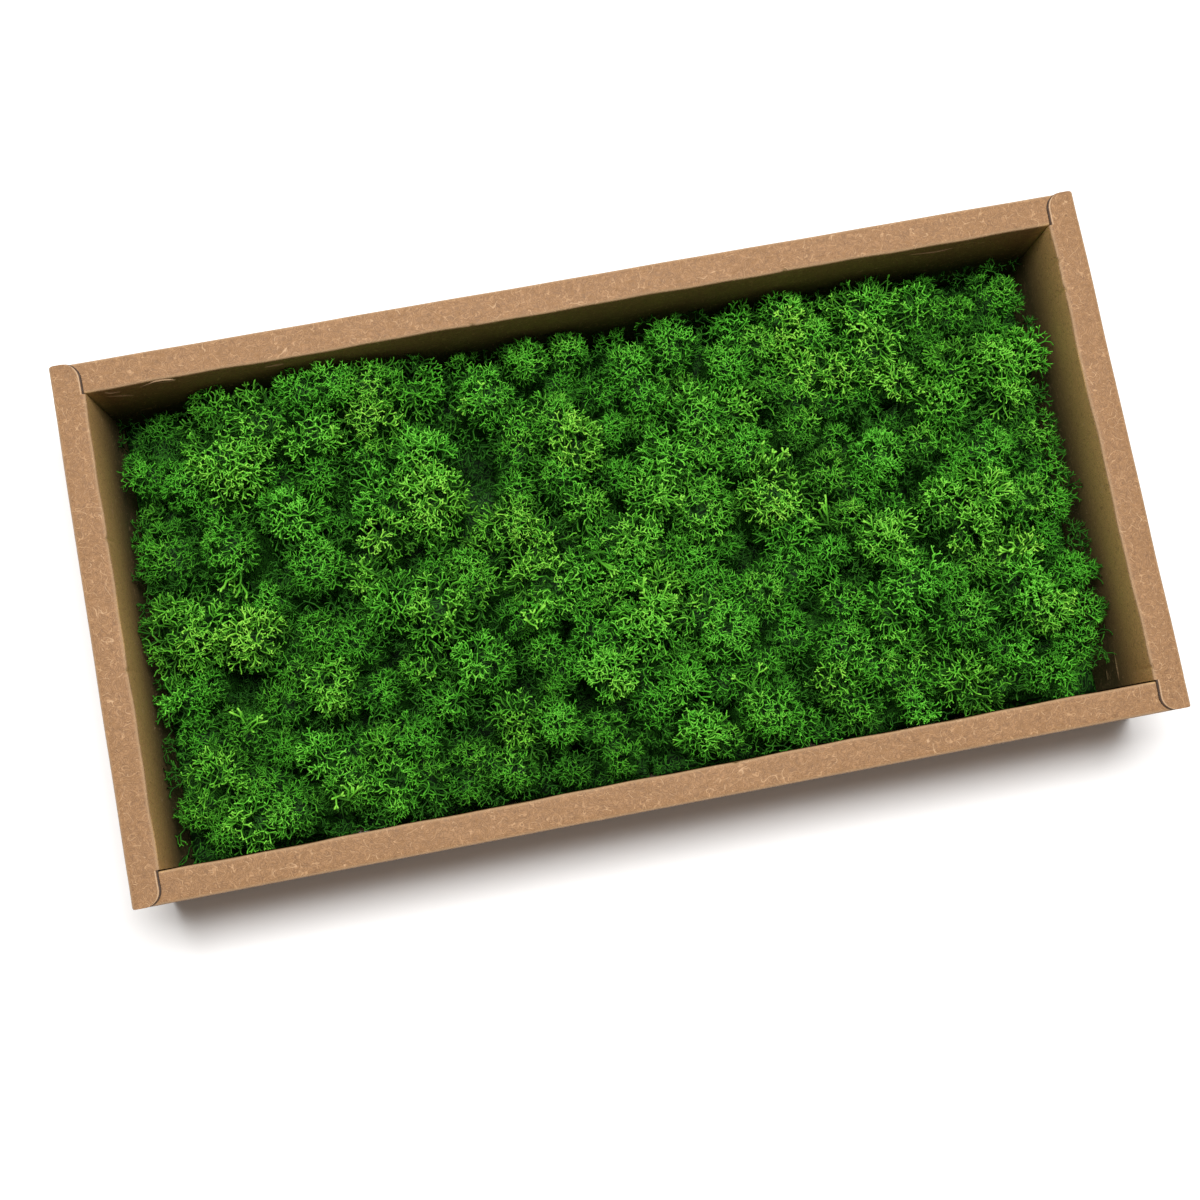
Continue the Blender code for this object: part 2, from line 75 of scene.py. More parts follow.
# The short rims end in tabs with a rounded inner end, which lie on the long rims.
RIM_END_RADIUS = 4.5
RIM_END_NOTCH = 0.5
OUTER_CORNER_RADIUS = 0.6
TAB_OVERLAP = 0.3
TAB_SINK = 0.03
TAB_STATIONS = 17
TAB_CROWDING = 1.6
# A tab's inner side is a worn line, also a painted highlight, and then a dark cut edge, also the painted
# shadow of the tab's step, pressed down a little.
EDGE_WEAR_AND_HIGHLIGHT = 0.3
CUT_EDGE = 0.42
CUT_EDGE_DROP = 0.15

# Handling
BENT_FROM = 20.0
RIM_DIP = 0.32
# Waves of the rims, the short inner walls and the long ones: (height, length in x, length in y, start).
RIM_WAVES = ((0.14, 13.0, 9.0, 0.0), (0.08, 4.7, -5.3, 1.0))
SHORT_WALL_WAVES = ((0.13, math.inf, 8.0, 2.0), (0.09, math.inf, 2.9, 0.0))
LONG_WALL_WAVES = ((0.13, 10.0, math.inf, 0.0), (0.09, 3.3, math.inf, 1.0))
# The walls wave from this far inside their inner face to this far outside it, and fully up to the last one.
WAVE_INSIDE = 2.0
WAVE_OUTSIDE = 5.0
WAVE_FULL = 1.0
# Places where the inner folds are pinched, (x, y), and the size of a pinch.
PINCHES = np.array((
    (-141, 25.4), (-141, -12), (141, 57), (141, 48), (141, -64), (-30, 68), (62, 68), (20, -68),
), float)
PINCH_WIDTH = 0.5
PINCH_DEPTH = 0.35
# It acts from this height up, and fully after this rise.
PINCH_FROM = 46.0
PINCH_RISE = 3.0
# Fine stations round a pinch: how far they reach to both sides, and how many they are.
PINCH_REACH = 1.5
PINCH_STATIONS = 9
# Creases that stand up from the board: wear, the face's normal, then places along the crease. On the right
# rim each pale worn crease, also a painted highlight, has a twin beside it painted dark as its shadow. The
# pale ridges on the far inner wall are painted reflections of a clear film, and the faint ones low on the
# right inner wall are folds of that film.
CREASES = (
    (1.0, (0, 0, 1), ((145.7, 72.5, 49.6), (146.4, 67.2, 49.6), (147.0, 63.3, 49.6),
                      (147.9, 59.2, 49.6), (149.0, 57.0, 49.4))),
    # Painted shadow beside the crease above.
    (-0.5, (0, 0, 1), ((145.2, 72.3, 49.5), (145.9, 67.1, 49.5), (146.5, 63.1, 49.5),
                       (147.4, 58.9, 49.5), (148.5, 56.7, 49.3))),
    (1.0, (0, 0, 1), ((146.3, 60.0, 49.6), (147.3, 57.2, 49.6), (149.4, 54.3, 49.4))),
    # Painted shadow beside the crease above.
    (-0.5, (0, 0, 1), ((145.8, 59.7, 49.5), (146.8, 56.8, 49.5), (148.9, 53.9, 49.3))),
    # Painted reflections on the far inner wall: pale streaks of a clear film.
    (0.8, (0, -1, 0), ((-126.5, 67.9, 45.0), (-124.4, 67.9, 46.4), (-121.7, 67.9, 48.2),
                       (-119.1, 67.9, 48.4), (-116.7, 67.9, 47.6), (-116.0, 67.9, 46.4),
                       (-117.5, 67.9, 45.8), (-121.5, 67.9, 46.2))),
    (0.4, (0, -1, 0), ((-136.3, 67.9, 46.5), (-134.8, 67.9, 45.2), (-132.0, 67.9, 44.6))),
    (0.4, (0, -1, 0), ((-136.8, 67.9, 42.2), (-133.0, 67.9, 40.6), (-129.5, 67.9, 38.4))),
    (0.4, (0, -1, 0), ((-91.0, 67.9, 44.0), (-87.5, 67.9, 44.5), (-85.0, 67.9, 44.0))),
    (0.4, (0, -1, 0), ((100.0, 67.9, 44.0), (108.0, 67.9, 42.5), (114.0, 67.9, 43.5))),
    (0.05, (-1, 0, 0), ((140.9, -56.9, 24.0), (140.9, -62.1, 23.5), (140.9, -66.0, 22.8))),
    (0.05, (-1, 0, 0), ((140.9, -61.7, 14.3), (140.9, -65.0, 13.6))),
)
CREASE_STEPS = 6
CREASE_WIDTH = 0.3
CREASE_HEIGHT = 0.28
CREASE_SINK = 0.1
CREASE_TIP = 0.06
CREASE_POWER = 0.6

# Painted light and shade inside the tray
# Painted shade: the inner walls grow darker and greener from this height down, over this depth. The base is
# darkest.
SHADE_TOP = 42.0
SHADE_DEPTH = 19.0
# How strongly painted light, a brighter olive tint, lies on each of the two short inner walls.
LEFT_WALL_LIGHT = 0.85
RIGHT_WALL_LIGHT = 1.0
# A point belongs to an inner wall this near its face, and this far below the rim.
WALL_NEAR = 0.5
WALL_BELOW_RIM = 1.05

# Moss core
WALL_CLEAR = 0.3
# The dark core, near black as painted shade of the deep moss, lies this far below the heads, narrowed here by
# the inset, or below the undergrowth.
CORE_DEPTH = 8.5
CORE_INSET = 1.5
UNDERGROWTH = 13.0
# It is lower in the dark holes, and uneven by a product of two sines of this height and these rates.
CORE_HOLE = 5.0
CORE_WAVE = 0.7
CORE_RATES = (1.1, 1.3)
CORE_BOTTOM = 1.2
CORE_LEAST = 2.0
CORE_RINGS = 16
CORE_SPOKES = 54
# The near right corner holds no moss: there x - y is more than this, and the core slopes down to it.
EMPTY_CORNER = 193.0
CORNER_SLOPE = 1.2
CORNER_LEAST = 1.0

# Tufts of the heads
# A head is covered with tufts from its top down to this angle, and a tuft with twigs down to the other one.
HEAD_REACH = math.radians(92)
TUFT_REACH = math.radians(75)
TUFT_SPACING = 7.0
TUFT_RADIUS = (4.4, 6.0)
LEAST_TUFTS = 3
LEAST_TWIGS = 2
# A tuft's middle lies this share of its radius inside the head, give or take.
TUFT_SINK = 0.85
TUFT_STRAY = (-1.2, 1.0)
# How far the directions of tufts and twigs stray.
SPREAD_STRAY = 0.12
# Share of the heads that are coarse beside those in the coarse patches, and how coarse they are.
COARSE_SHARE = 0.3
COARSE_RANGE = (0.5, 1.0)
# Coarse tufts are larger and stand farther apart by this share, and are warmer in tone.
COARSE_SWELL = 0.2
COARSE_TONE = 0.4
TONE_RANGE = (0.0, 0.6)
TUFT_TONE_STRAY = 0.1
TWIG_TONE_STRAY = 0.12

# Low tufts between the heads
# Their tops lie this far below the mean of the head tops within this reach, and lower in the dark holes.
FILL_DEPTH = 7.0
FILL_REACH = 9.0
HOLE_DEPTH = 9.0
HOLE_EDGE = 1.5
# Their grid's spacing and margin to the walls, and how far they stray in plan and in height.
FILL_SPACING = 6.5
FILL_MARGIN = 3.0
FILL_STRAY = 2.0
FILL_RISE = 1.5
# Their twigs point away from a place this far below their top.
FILL_CENTRE = 9.0
FILL_COARSE_SHARE = 0.5
FILL_COARSE_RANGE = (0.3, 0.9)

# Twigs
SPACING_STRAY = (0.9, 1.1)
SIZE_STRAY = (0.88, 1.12)
ROOT_DEPTH = 0.12
ROOT_STRAY = 0.2
FORK_STRAY = 0.22
TAPER = 0.95
HUB_RISE = 0.7
# A twig of size s has this thickness: the first number + the second x s.
THICK_BY_SIZE = (0.9, 0.2)
# Twigs that end this deep in another tuft, this far under the highest one, or this near a wall are left out.
BURIED = 1.6
SHADED = 5.0
END_CLEAR = 0.5
# How a twig grows: spacing, radius, span of each joint, share of its places that go on, spikes, tilt, lean.
FINE_TWIG = {"spacing": 4.42, "thick": 0.205, "spans": ((1.4, 2.2), (1.3, 2.0), (1.0, 1.7)),
             "keep": (0.9, 0.72, 0.7), "spikes": (0.8, 1.4), "tilt": (38.0, 64.0), "lean": 0.12}
COARSE_TWIG = {"spacing": 5.8, "thick": 0.27,
               "spans": ((1.4, 2.2), (1.5, 2.5), (1.4, 2.4), (1.1, 1.9), (0.6, 1.1)),
               "keep": (0.85, 0.65, 0.55, 0.5, 0.0), "spikes": None, "tilt": (32.0, 62.0), "lean": 0.12}
STEM_TWIG = {"thick": 0.42, "spans": ((2.6, 3.6), (2.6, 3.6), (2.2, 3.2), (1.4, 2.2), (0.9, 1.4)),
             "keep": (0.75, 0.6, 0.55, 0.5, 0.0), "spikes": None, "tilt": (22.0, 50.0), "lean": 0.05}
STEM_RISE = (0.15, 0.4)
STEM_FOOT = 1.0
# Painted light and tone of the bare stems.
STEM_TRAITS = (0.95, 0.8)

# Painted light and shade on the twigs
# This painted light falls from full near the head tops to the least light deep below them, and in holes and
# places of painted shadow.
TWIG_REACH = 5.0
LIT_ABOVE = 2.0
DARK_DEPTH = 12.5
FULL_LIGHT = 1.05
LEAST_LIGHT = 0.25
HOLE_SHADE = 0.4
# The next value is how strongly the painted shadow dims the moss in those places.
PAINTED_SHADOW_STRENGTH = 0.4
# Painted light on the heads: how bright a head's top is, how much darker its flanks are, and how the heads
# differ by a sine.
TOP_SHADE = 1.12
FLANK_SHADE = 0.3
HEAD_STRAY = 0.07
HEAD_RATES = (1.7, 2.3)
# The colour of a twig's age strays from place to place: age x (the first number + the second x noise).
AGE_BY_NOISE = (0.93, 0.5)

# Middles of the cushions, (x, y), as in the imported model.
CUSHIONS = np.array((
    (-117, 51), (-73, 47), (-23, 51), (23, 46), (68, 49), (114, 46), (-120, 4), (-86, -1), (-47, 10),
    (-3, 2), (51, 3), (103, 3), (-112, -43), (-68, -44), (-22, -40), (24, -44), (74, -42), (120, -43),
), float)

# Heads of the moss, (x, y, radius, drop of the top below the rim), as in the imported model.
HEADS = np.array((
    (-127, 57, 11, 24), (-109, 62, 11, 15), (-132, 46, 8, 16), (-122, 42, 8, 14), (-108, 46, 12, 9),
    (-131, 35, 8, 26), (-116, 34, 8, 22), (-103, 33, 8, 24), (-96, 55, 10, 8), (-83, 62, 9, 7),
    (-73, 62, 9, 5), (-62, 60, 9, 8), (-81, 50, 9, 11), (-65, 52, 9, 11), (-95, 40, 8, 22),
    (-82, 38, 8, 16), (-67, 42, 9, 17), (-54, 43, 8, 17), (-50, 58, 8, 14), (-43, 50, 8, 22),
    (-34, 60, 8, 20), (-30, 51, 10, 11), (-16, 60, 8, 13), (-3, 61, 7, 16), (-7, 53, 8, 20),
    (-22, 41, 8, 16), (-11, 41, 9, 12), (-24, 33, 8, 15), (-6, 33, 8, 11), (11, 61, 7, 24), (5, 48, 8, 16),
    (14, 53, 8, 13), (28, 57, 9, 13), (17, 44, 8, 12), (27, 44, 7, 19), (6, 35, 6, 17), (15, 35, 7, 17),
    (32, 34, 9, 11), (43, 48, 8, 11), (43, 35, 8, 15), (48, 60, 8, 20), (62, 61, 8, 13), (62, 54, 8, 13),
    (53, 52, 7, 13), (71, 52, 7, 14), (73, 61, 7, 22), (87, 58, 9, 13), (65, 43, 7, 15), (55, 41, 8, 14),
    (74, 41, 8, 14), (86, 44, 9, 10), (62, 35, 8, 14), (73, 32, 7, 18), (82, 32, 7, 20), (105, 61, 8, 22),
    (127, 55, 9, 16), (102, 52, 8, 15), (113, 51, 7, 13), (103, 44, 8, 15), (124, 45, 8, 18),
    (92, 34, 8, 12), (108, 34, 9, 10), (121, 34, 7, 13), (131, 35, 8, 14), (103, 24, 8, 10),
    (123, 25, 7, 17), (-129, 21, 11, 13), (-110, 20, 10, 9), (-127, -2, 12, 12), (-110, -8, 9, 11),
    (-112, 5, 7, 24), (-124, -18, 7, 16), (-132, -21, 7, 17), (-93, 26, 8, 14), (-79, 24, 8, 24),
    (-88, 10, 10, 11), (-102, 3, 7, 17), (-74, 5, 6, 15), (-89, -9, 8, 13), (-80, -13, 8, 13),
    (-98, -18, 8, 14), (-66, -4, 8, 12), (-66, 26, 8, 13), (-52, 23, 11, 10), (-50, 35, 8, 12),
    (-67, 15, 6, 10), (-54, 5, 7, 17), (-44, 0, 8, 13), (-55, -9, 10, 9), (-38, 6, 7, 19), (-28, 13, 9, 12),
    (-26, 22, 7, 13), (-42, -5, 8, 13), (-12, 24, 8, 11), (-7, 14, 7, 12), (5, 21, 7, 18), (13, 13, 7, 13),
    (-22, 5, 8, 15), (-26, -3, 8, 12), (-4, 3, 7, 13), (6, 0, 8, 7), (2, -6, 9, 11), (-19, -8, 7, 11),
    (-12, -4, 7, 13), (20, 24, 8, 14), (16, -4, 7, 17), (27, 7, 11, 10), (31, 25, 8, 13), (30, 18, 7, 15),
    (43, 21, 9, 10), (48, 6, 10, 9), (60, 24, 7, 13), (65, 11, 8, 12), (71, 20, 6, 17), (75, 5, 8, 14),
    (52, -6, 8, 16), (69, -3, 7, 15), (62, -13, 7, 14), (47, -13, 7, 15), (23, -9, 7, 14), (33, -5, 6, 19),
    (86, 22, 7, 20), (96, 14, 8, 13), (81, 12, 9, 9), (113, 8, 10, 8), (102, 6, 8, 11), (129, 11, 9, 14),
    (115, 0, 7, 13), (130, 0, 7, 15), (97, -5, 8, 10), (110, -5, 8, 9), (121, -8, 9, 9), (130, -10, 6, 14),
    (84, -4, 7, 19), (101, -13, 7, 10), (79, -13, 8, 10), (-103, -27, 8, 15), (-117, -28, 8, 21),
    (-129, -33, 8, 18), (-114, -35, 9, 14), (-106, -40, 7, 13), (-124, -44, 9, 12), (-112, -49, 9, 15),
    (-132, -53, 7, 14), (-126, -60, 7, 17), (-105, -58, 9, 12), (-117, -60, 7, 16), (-95, -44, 7, 14),
    (-88, -26, 9, 13), (-75, -29, 8, 19), (-86, -43, 7, 20), (-88, -54, 9, 12), (-66, -45, 8, 13),
    (-76, -46, 7, 17), (-66, -56, 8, 14), (-75, -56, 7, 15), (-75, -62, 6, 16), (-56, -61, 6, 14),
    (-56, -36, 8, 17), (-62, -24, 7, 19), (-52, -54, 9, 14), (-33, -15, 8, 14), (-24, -14, 8, 13),
    (-13, -15, 7, 15), (-44, -27, 10, 9), (-26, -27, 7, 15), (-12, -24, 7, 13), (-9, -36, 8, 10),
    (-25, -37, 7, 15), (-18, -32, 6, 16), (-26, -48, 8, 8), (-38, -46, 8, 15), (-41, -59, 8, 13),
    (-14, -52, 8, 16), (-10, -61, 6, 15), (-25, -61, 6, 17), (-5, -26, 7, 15), (-5, -14, 7, 14),
    (10, -14, 7, 15), (6, -24, 9, 10), (20, -24, 8, 13), (26, -17, 8, 13), (28, -31, 10, 8),
    (38, -21, 9, 10), (2, -37, 6, 17), (13, -37, 7, 18), (3, -46, 8, 16), (12, -43, 7, 15),
    (24, -44, 8, 17), (35, -43, 8, 13), (35, -55, 10, 9), (13, -58, 7, 14), (2, -55, 7, 21),
    (20, -61, 6, 16), (43, -61, 6, 12), (46, -35, 9, 15), (48, -22, 6, 19), (53, -18, 7, 16),
    (83, -26, 10, 8), (94, -28, 7, 12), (75, -34, 8, 11), (62, -29, 8, 11), (60, -41, 10, 10),
    (79, -43, 7, 17), (69, -49, 7, 13), (56, -51, 8, 16), (78, -56, 8, 13), (77, -62, 6, 13),
    (61, -59, 8, 18), (91, -57, 8, 11), (96, -61, 6, 12), (96, -40, 10, 8), (104, -24, 8, 13),
    (115, -24, 8, 15), (125, -20, 7, 15), (116, -32, 8, 12), (131, -32, 8, 12), (119, -41, 9, 10),
    (131, -44, 8, 13), (106, -51, 8, 10), (127, -53, 8, 13), (105, -61, 6, 14), (115, -59, 8, 14),
    (122, -61, 6, 17),
), float)

# Middles of the patches where the moss is coarse, open and yellower, (x, y).
COARSE_PATCHES = np.array((
    (108, 30), (-54, -14), (6, -23), (13, 10), (-50, 60), (-52, 24), (-67, 15), (89, 60), (93, -57),
    (101, -12), (-22, 5), (81, -12), (-60, -28),
), float)
COARSE_REACH = 13.0

# Places where shadow is painted on the moss to dim it, (x, y, radius).
PAINTED_SHADOW_PLACES = np.array((
    (-112, 60, 14), (-128, 58, 14), (-131, 40, 9), (-128, 30, 8), (-60, -60, 12), (100, -60, 10),
    (-20, -60, 10), (-50, 60, 8), (-104, 26, 7), (108, 44, 16), (-112, -32, 14), (-128, -46, 8),
), float)

# Feet of the long bare stems that lie over the heads, (x, y, direction in degrees).
STEMS = np.array((
    (-91, -63, 75), (-94, -58, 20), (14, 14, 300), (-66, 3, 190), (10, -16, 250), (-34, -20, 10),
    (4, -22, 40), (102, 28, 200), (44, 12, 30), (-10, 0, 320), (-62, 30, 350), (-106, 14, 240),
    (64, -8, 120), (-52, -20, 60), (88, 50, 215), (-30, 44, 80), (32, -52, 140), (120, -20, 190),
    (-84, 44, 20), (-116, -38, 70),
), float)

# Dark holes between the heads, (x, y, radius).
HOLES = np.array((
    (-114, -19, 5), (-62, 4, 5), (-37, 32, 6), (-36, 22, 6), (-39, -13, 5), (-31, -35, 5), (-18, -39, 4),
    (-46, -46, 5), (7, -35, 5), (6, -57, 4), (-5, -63, 4), (12, 31, 5), (37, -10, 5), (37, -48, 4),
    (54, 19, 5), (61, 20, 5), (79, 25, 5), (95, 8, 4), (92, -12, 5), (63, -20, 4), (88, -36, 5),
    (108, -42, 4), (-91, -58, 5), (-44, 48, 6), (4, 54, 5), (-100, 29, 5), (-97, 19, 5),
), float)


def unit(vectors):
    """Each vector divided by its own length."""
    return vectors / np.linalg.norm(vectors, axis=-1, keepdims=True)


def along(first, second):
    """Dot product of each pair of vectors, kept as a column."""
    return (first * second).sum(-1, keepdims=True)


def distances(x, y, places):
    """Distance in plan from each point to each place: a row for a point, a column for a place."""
    return np.hypot(np.subtract.outer(x, places[:, 0]), np.subtract.outer(y, places[:, 1]))


def mesh_object(name, points, faces, smooth, material, layer=None, colours=None):
    """An object at the origin from points in millimetres, with a colour attribute if a layer is named."""
    mesh = bpy.data.meshes.new(name)
    mesh.from_pydata((points * MM).tolist(), [], faces)
    mesh.polygons.foreach_set("use_smooth", smooth)
    if layer:
        attribute = mesh.color_attributes.new(layer, "FLOAT_COLOR", "POINT")
        attribute.data.foreach_set("color", colours.ravel())
    mesh.materials.append(material)
    piece = bpy.data.objects.new(name, mesh)
    bpy.context.scene.collection.objects.link(piece)
    return piece


# Tray

def board_section(top, rim, inner_bottom=None):
    """Rows of distance in from the outside, height, inward normal and wear along the board's outer face.

    The board rises from the base, turns over at the rim and, where inner_bottom is given, turns down again.
    Each turn is an arc, centre + radius x (cos, sin), with a pale worn line, also a painted highlight, of
    FOLD_WEAR_AND_HIGHLIGHT x sin(pi t) cubed and t going from 0 to 1. Without inner_bottom the rim ends in a
    worn line, also a painted highlight, and a dark cut edge below zero, also a painted shadow line.
    """
    share = np.linspace(0, 1, FOLD_STEPS + 1)
    high = top - FOLD_RADIUS

    def turn(centre, start, end):
        """An arc of the board between two angles, with its normal towards the centre."""
        angle = np.radians(start + (end - start) * share)
        out = np.stack([np.cos(angle), np.sin(angle)], -1)
        wear = FOLD_WEAR_AND_HIGHLIGHT * np.sin(math.pi * share)[:, None] ** 3
        return np.hstack([centre + FOLD_RADIUS * out, -out, wear])

    def flat(first, last, inward):
        """Even places between the two ends of a flat stretch."""
        places = np.linspace(first, last, FLAT_SPANS + 1)[1:-1]
        return np.hstack([places, np.tile((*inward, 0.0), (len(places), 1))])

    parts = [np.array([(BOARD + FOLD_RADIUS, 0.0, 0.0, 1.0, 0.0)]),
             turn((FOLD_RADIUS, FOLD_RADIUS), 270, 180),
             flat((0, FOLD_RADIUS), (0, high), (1, 0)),
             turn((FOLD_RADIUS, high), 180, 90)]
    if inner_bottom is None:
        edge = rim - CUT_EDGE
        low = top - CUT_EDGE_DROP
        parts += [flat((FOLD_RADIUS, top), (edge - 2 * EDGE_WEAR_AND_HIGHLIGHT, top), (0, -1)),
                  np.array([(edge - 2 * EDGE_WEAR_AND_HIGHLIGHT, top, 0.0, -1.0, 0.0),
                            (edge - EDGE_WEAR_AND_HIGHLIGHT, top, 0.0, -1.0, 1.0),
                            (edge, low, 0.0, -1.0, -1.0), (rim, low, 0.0, -1.0, -1.0)])]
    else:
        parts += [flat((FOLD_RADIUS, top), (rim - FOLD_RADIUS, top), (0, -1)),
                  turn((rim - FOLD_RADIUS, high), 90, 0),
                  flat((rim, high), (rim, inner_bottom), (-1, 0)),
                  np.array([(rim, inner_bottom, -1.0, 0.0, 0.0)])]
    return np.concatenate(parts)


def stations(start, stop, marks):
    """Places along a side: even steps, and fine ones round each mark."""
    even = np.linspace(start, stop, round((stop - start) / STATION_SPACING) + 1)
    near = np.add.outer(marks, np.linspace(-PINCH_REACH, PINCH_REACH, PINCH_STATIONS)).ravel()
    places = np.concatenate([even, near[(near > start) & (near < stop)]])
    return np.unique(np.round(places, 3))


def fold_along(section, places, put, lost, back):
    """The board's section carried through places: one closed body's points, wear, quads and smooth quads.

    Along a tab the rim's width lost and the outer face's way back vary: distance + back x (1 - t) - lost x t,
    with t going from 0 at the outer fold to 1 at the rim's inner edge. put places (distance, height, place).
    """
    outer = section[:, :2]
    inner = outer + BOARD * section[:, 2:4]
    ring = np.concatenate([outer, inner[::-1]])
    wear = np.concatenate([section[:, 4], section[::-1, 4]])
    share = np.clip((ring[:, 0] - FOLD_RADIUS) / (ring[:, 0].max() - FOLD_RADIUS), 0, 1)
    distance = ring[:, 0] + back[:, None] * (1 - share) - lost[:, None] * share
    height = np.broadcast_to(ring[:, 1], distance.shape)
    points = put(distance, height, np.broadcast_to(places[:, None], distance.shape)).reshape(-1, 3)
    count, around = distance.shape
    number = np.arange(count * around).reshape(count, around)
    after = np.roll(number, -1, 1)
    sides = np.stack([number[:-1], after[:-1], after[1:], number[1:]], -1).reshape(-1, 4)
    steps = np.arange(len(section) - 1)
    cap = np.stack([steps, steps + 1, around - 2 - steps, around - 1 - steps], -1)
    quads = np.concatenate([sides, cap[:, ::-1], cap + number[-1, 0]])
    if signed_volume(points, quads) < 0:
        quads = quads[:, ::-1]
    return points, np.tile(wear, count), quads, np.arange(len(quads)) < len(sides)


def signed_volume(points, quads):
    """Six times the volume inside the quads, positive when they face outwards."""
    a, b, c, d = (points[quads[:, k]] for k in range(4))
    return (a * np.cross(b, c)).sum() + (a * np.cross(c, d)).sum()


def plate(x_lines, y_lines, solid, low, high):
    """A flat plate of a grid's solid cells, with side faces wherever a solid cell meets an empty one."""
    x, y = np.meshgrid(x_lines, y_lines, indexing="ij")
    number = np.arange(x.size).reshape(x.shape)
    points = np.concatenate([np.stack([x, y, np.full(x.shape, z)], -1).reshape(-1, 3) for z in (low, high)])
    i, j = np.nonzero(solid)
    a, b, c, d = number[i, j], number[i + 1, j], number[i + 1, j + 1], number[i, j + 1]
    padded = np.pad(solid, 1)
    quads = [np.stack([d, c, b, a], -1), np.stack([a, b, c, d], -1) + x.size]
    for step_x, step_y, first, last in ((1, 0, b, c), (-1, 0, d, a), (0, 1, c, d), (0, -1, a, b)):
        edge = ~padded[i + 1 + step_x, j + 1 + step_y]
        quads.append(np.stack([first, last, last + x.size, first + x.size], -1)[edge])
    quads = np.concatenate(quads)
    return points, np.zeros(len(points)), quads, np.zeros(len(quads), bool)


def tongue_places(grow):
    """Sides of the six locking tongues, or, grown, of their slots: (x low, x high, y low, y high)."""
    half = TONGUE_WIDTH / 2
    places = [(x - half, x + half, *sorted((side * INNER_Y, side * (INNER_Y + BOARD))))
              for x in (-TONGUE_PLACE, TONGUE_PLACE) for side in (-1, 1)]
    places += [(*sorted((side * INNER_X, side * (INNER_X + BOARD))), -half, half) for side in (-1, 1)]
    return np.array(places) + grow * np.array([-1, 1, -1, 1])


def make_base():
    """The base plate with its six slots: the grid of the slots' sides, less the cells inside a slot."""
    reach_x, reach_y = TRAY_LENGTH / 2 - BOARD, TRAY_DEPTH / 2 - BOARD
    slots = tongue_places(TONGUE_CLEAR)
    x_lines = np.unique(np.concatenate([slots[:, :2].ravel(), [-reach_x, reach_x]]))
    y_lines = np.unique(np.concatenate([slots[:, 2:].ravel(), [-reach_y, reach_y]]))
    x = ((x_lines[1:] + x_lines[:-1]) / 2)[:, None, None]
    y = ((y_lines[1:] + y_lines[:-1]) / 2)[None, :, None]
    open_cell = (x > slots[:, 0]) & (x < slots[:, 1]) & (y > slots[:, 2]) & (y < slots[:, 3])
    return plate(x_lines, y_lines, ~open_cell.any(-1), 0.0, BOARD)


def wave_sum(x, y, waves):
    """Sum of height x sin(x / length in x + y / length in y + start) over the waves."""
    return sum(height * np.sin(x / length_x + y / length_y + start)
               for height, length_x, length_y, start in waves)


def near_wall(outwards):
    """1 at an inner wall by the distance outwards from its face, falling to 0 outside it, and 0 inside."""
    fall = np.clip((WAVE_OUTSIDE - outwards) / (WAVE_OUTSIDE - WAVE_FULL), 0, 1)
    return fall * (outwards > -WAVE_INSIDE)


def handled(points):
    """Points moved as handling has bent the board, the more the higher they are.

    The rims dip by a mean and a sum of sines, the inner walls wave by other ones, and each pinch pulls the
    inner fold down and back by a bell curve of the distance to its place.
    """
    x, y, z = points.T
    high = np.clip((z - BENT_FROM) / (TRAY_HEIGHT - BENT_FROM), 0, 1) ** 2
    near_x, near_y = near_wall(np.abs(x) - INNER_X), near_wall(np.abs(y) - INNER_Y)
    pinch = PINCH_DEPTH * np.exp(-(distances(x, y, PINCHES) / PINCH_WIDTH) ** 2 / 2).sum(1)
    pinch *= np.clip((z - PINCH_FROM) / PINCH_RISE, 0, 1)
    pull_x = near_x * (high * wave_sum(x, y, SHORT_WALL_WAVES) + pinch)
    pull_y = near_y * (high * wave_sum(x, y, LONG_WALL_WAVES) + pinch)
    dip = high * (RIM_DIP + wave_sum(x, y, RIM_WAVES))
    return np.stack([x + np.sign(x) * pull_x, y + np.sign(y) * pull_y, z - dip - pinch], -1)


def make_crease(wear, normal, places):
    """A low ridge along the places, three-sided, tapered to both ends, half sunk in the board.

    Its two feet lie at the width x taper to both sides, its crest at the height x taper along the normal, and
    the taper is CREASE_TIP + sin(pi t) to the CREASE_POWER, with t going from 0 to 1. Each place on the line
    becomes half itself and a quarter of each neighbour.
    """
    places = np.array(places, float)
    steps = np.linspace(0, len(places) - 1, CREASE_STEPS * (len(places) - 1) + 1)
    line = np.stack([np.interp(steps, np.arange(len(places)), places[:, k]) for k in range(3)], -1)
    line[1:-1] = (line[:-2] + 2 * line[1:-1] + line[2:]) / 4
    taper = (CREASE_TIP + np.sin(math.pi * steps / steps[-1]) ** CREASE_POWER)[:, None]
    normal = np.array(normal, float)
    side = unit(np.cross(np.gradient(line, axis=0), normal))
    sunk = line - CREASE_SINK * normal
    points = np.stack([sunk - CREASE_WIDTH * taper * side, sunk + CREASE_WIDTH * taper * side,
                       sunk + CREASE_HEIGHT * taper * normal], 1).reshape(-1, 3)
    number = np.arange(len(points)).reshape(-1, 3)
    after = np.roll(number, -1, 1)
    quads = np.stack([number[:-1], after[:-1], after[1:], number[1:]], -1).reshape(-1, 4)
    caps = np.array([(0, 2, 1, 1), number[-1][[0, 1, 2, 2]]])
    if signed_volume(points, quads) < 0:
        quads, caps = quads[:, ::-1], caps[:, [2, 1, 0, 0]]
    quads = np.concatenate([quads, caps])
    return points, np.full(len(points), wear), quads, np.ones(len(quads), bool)


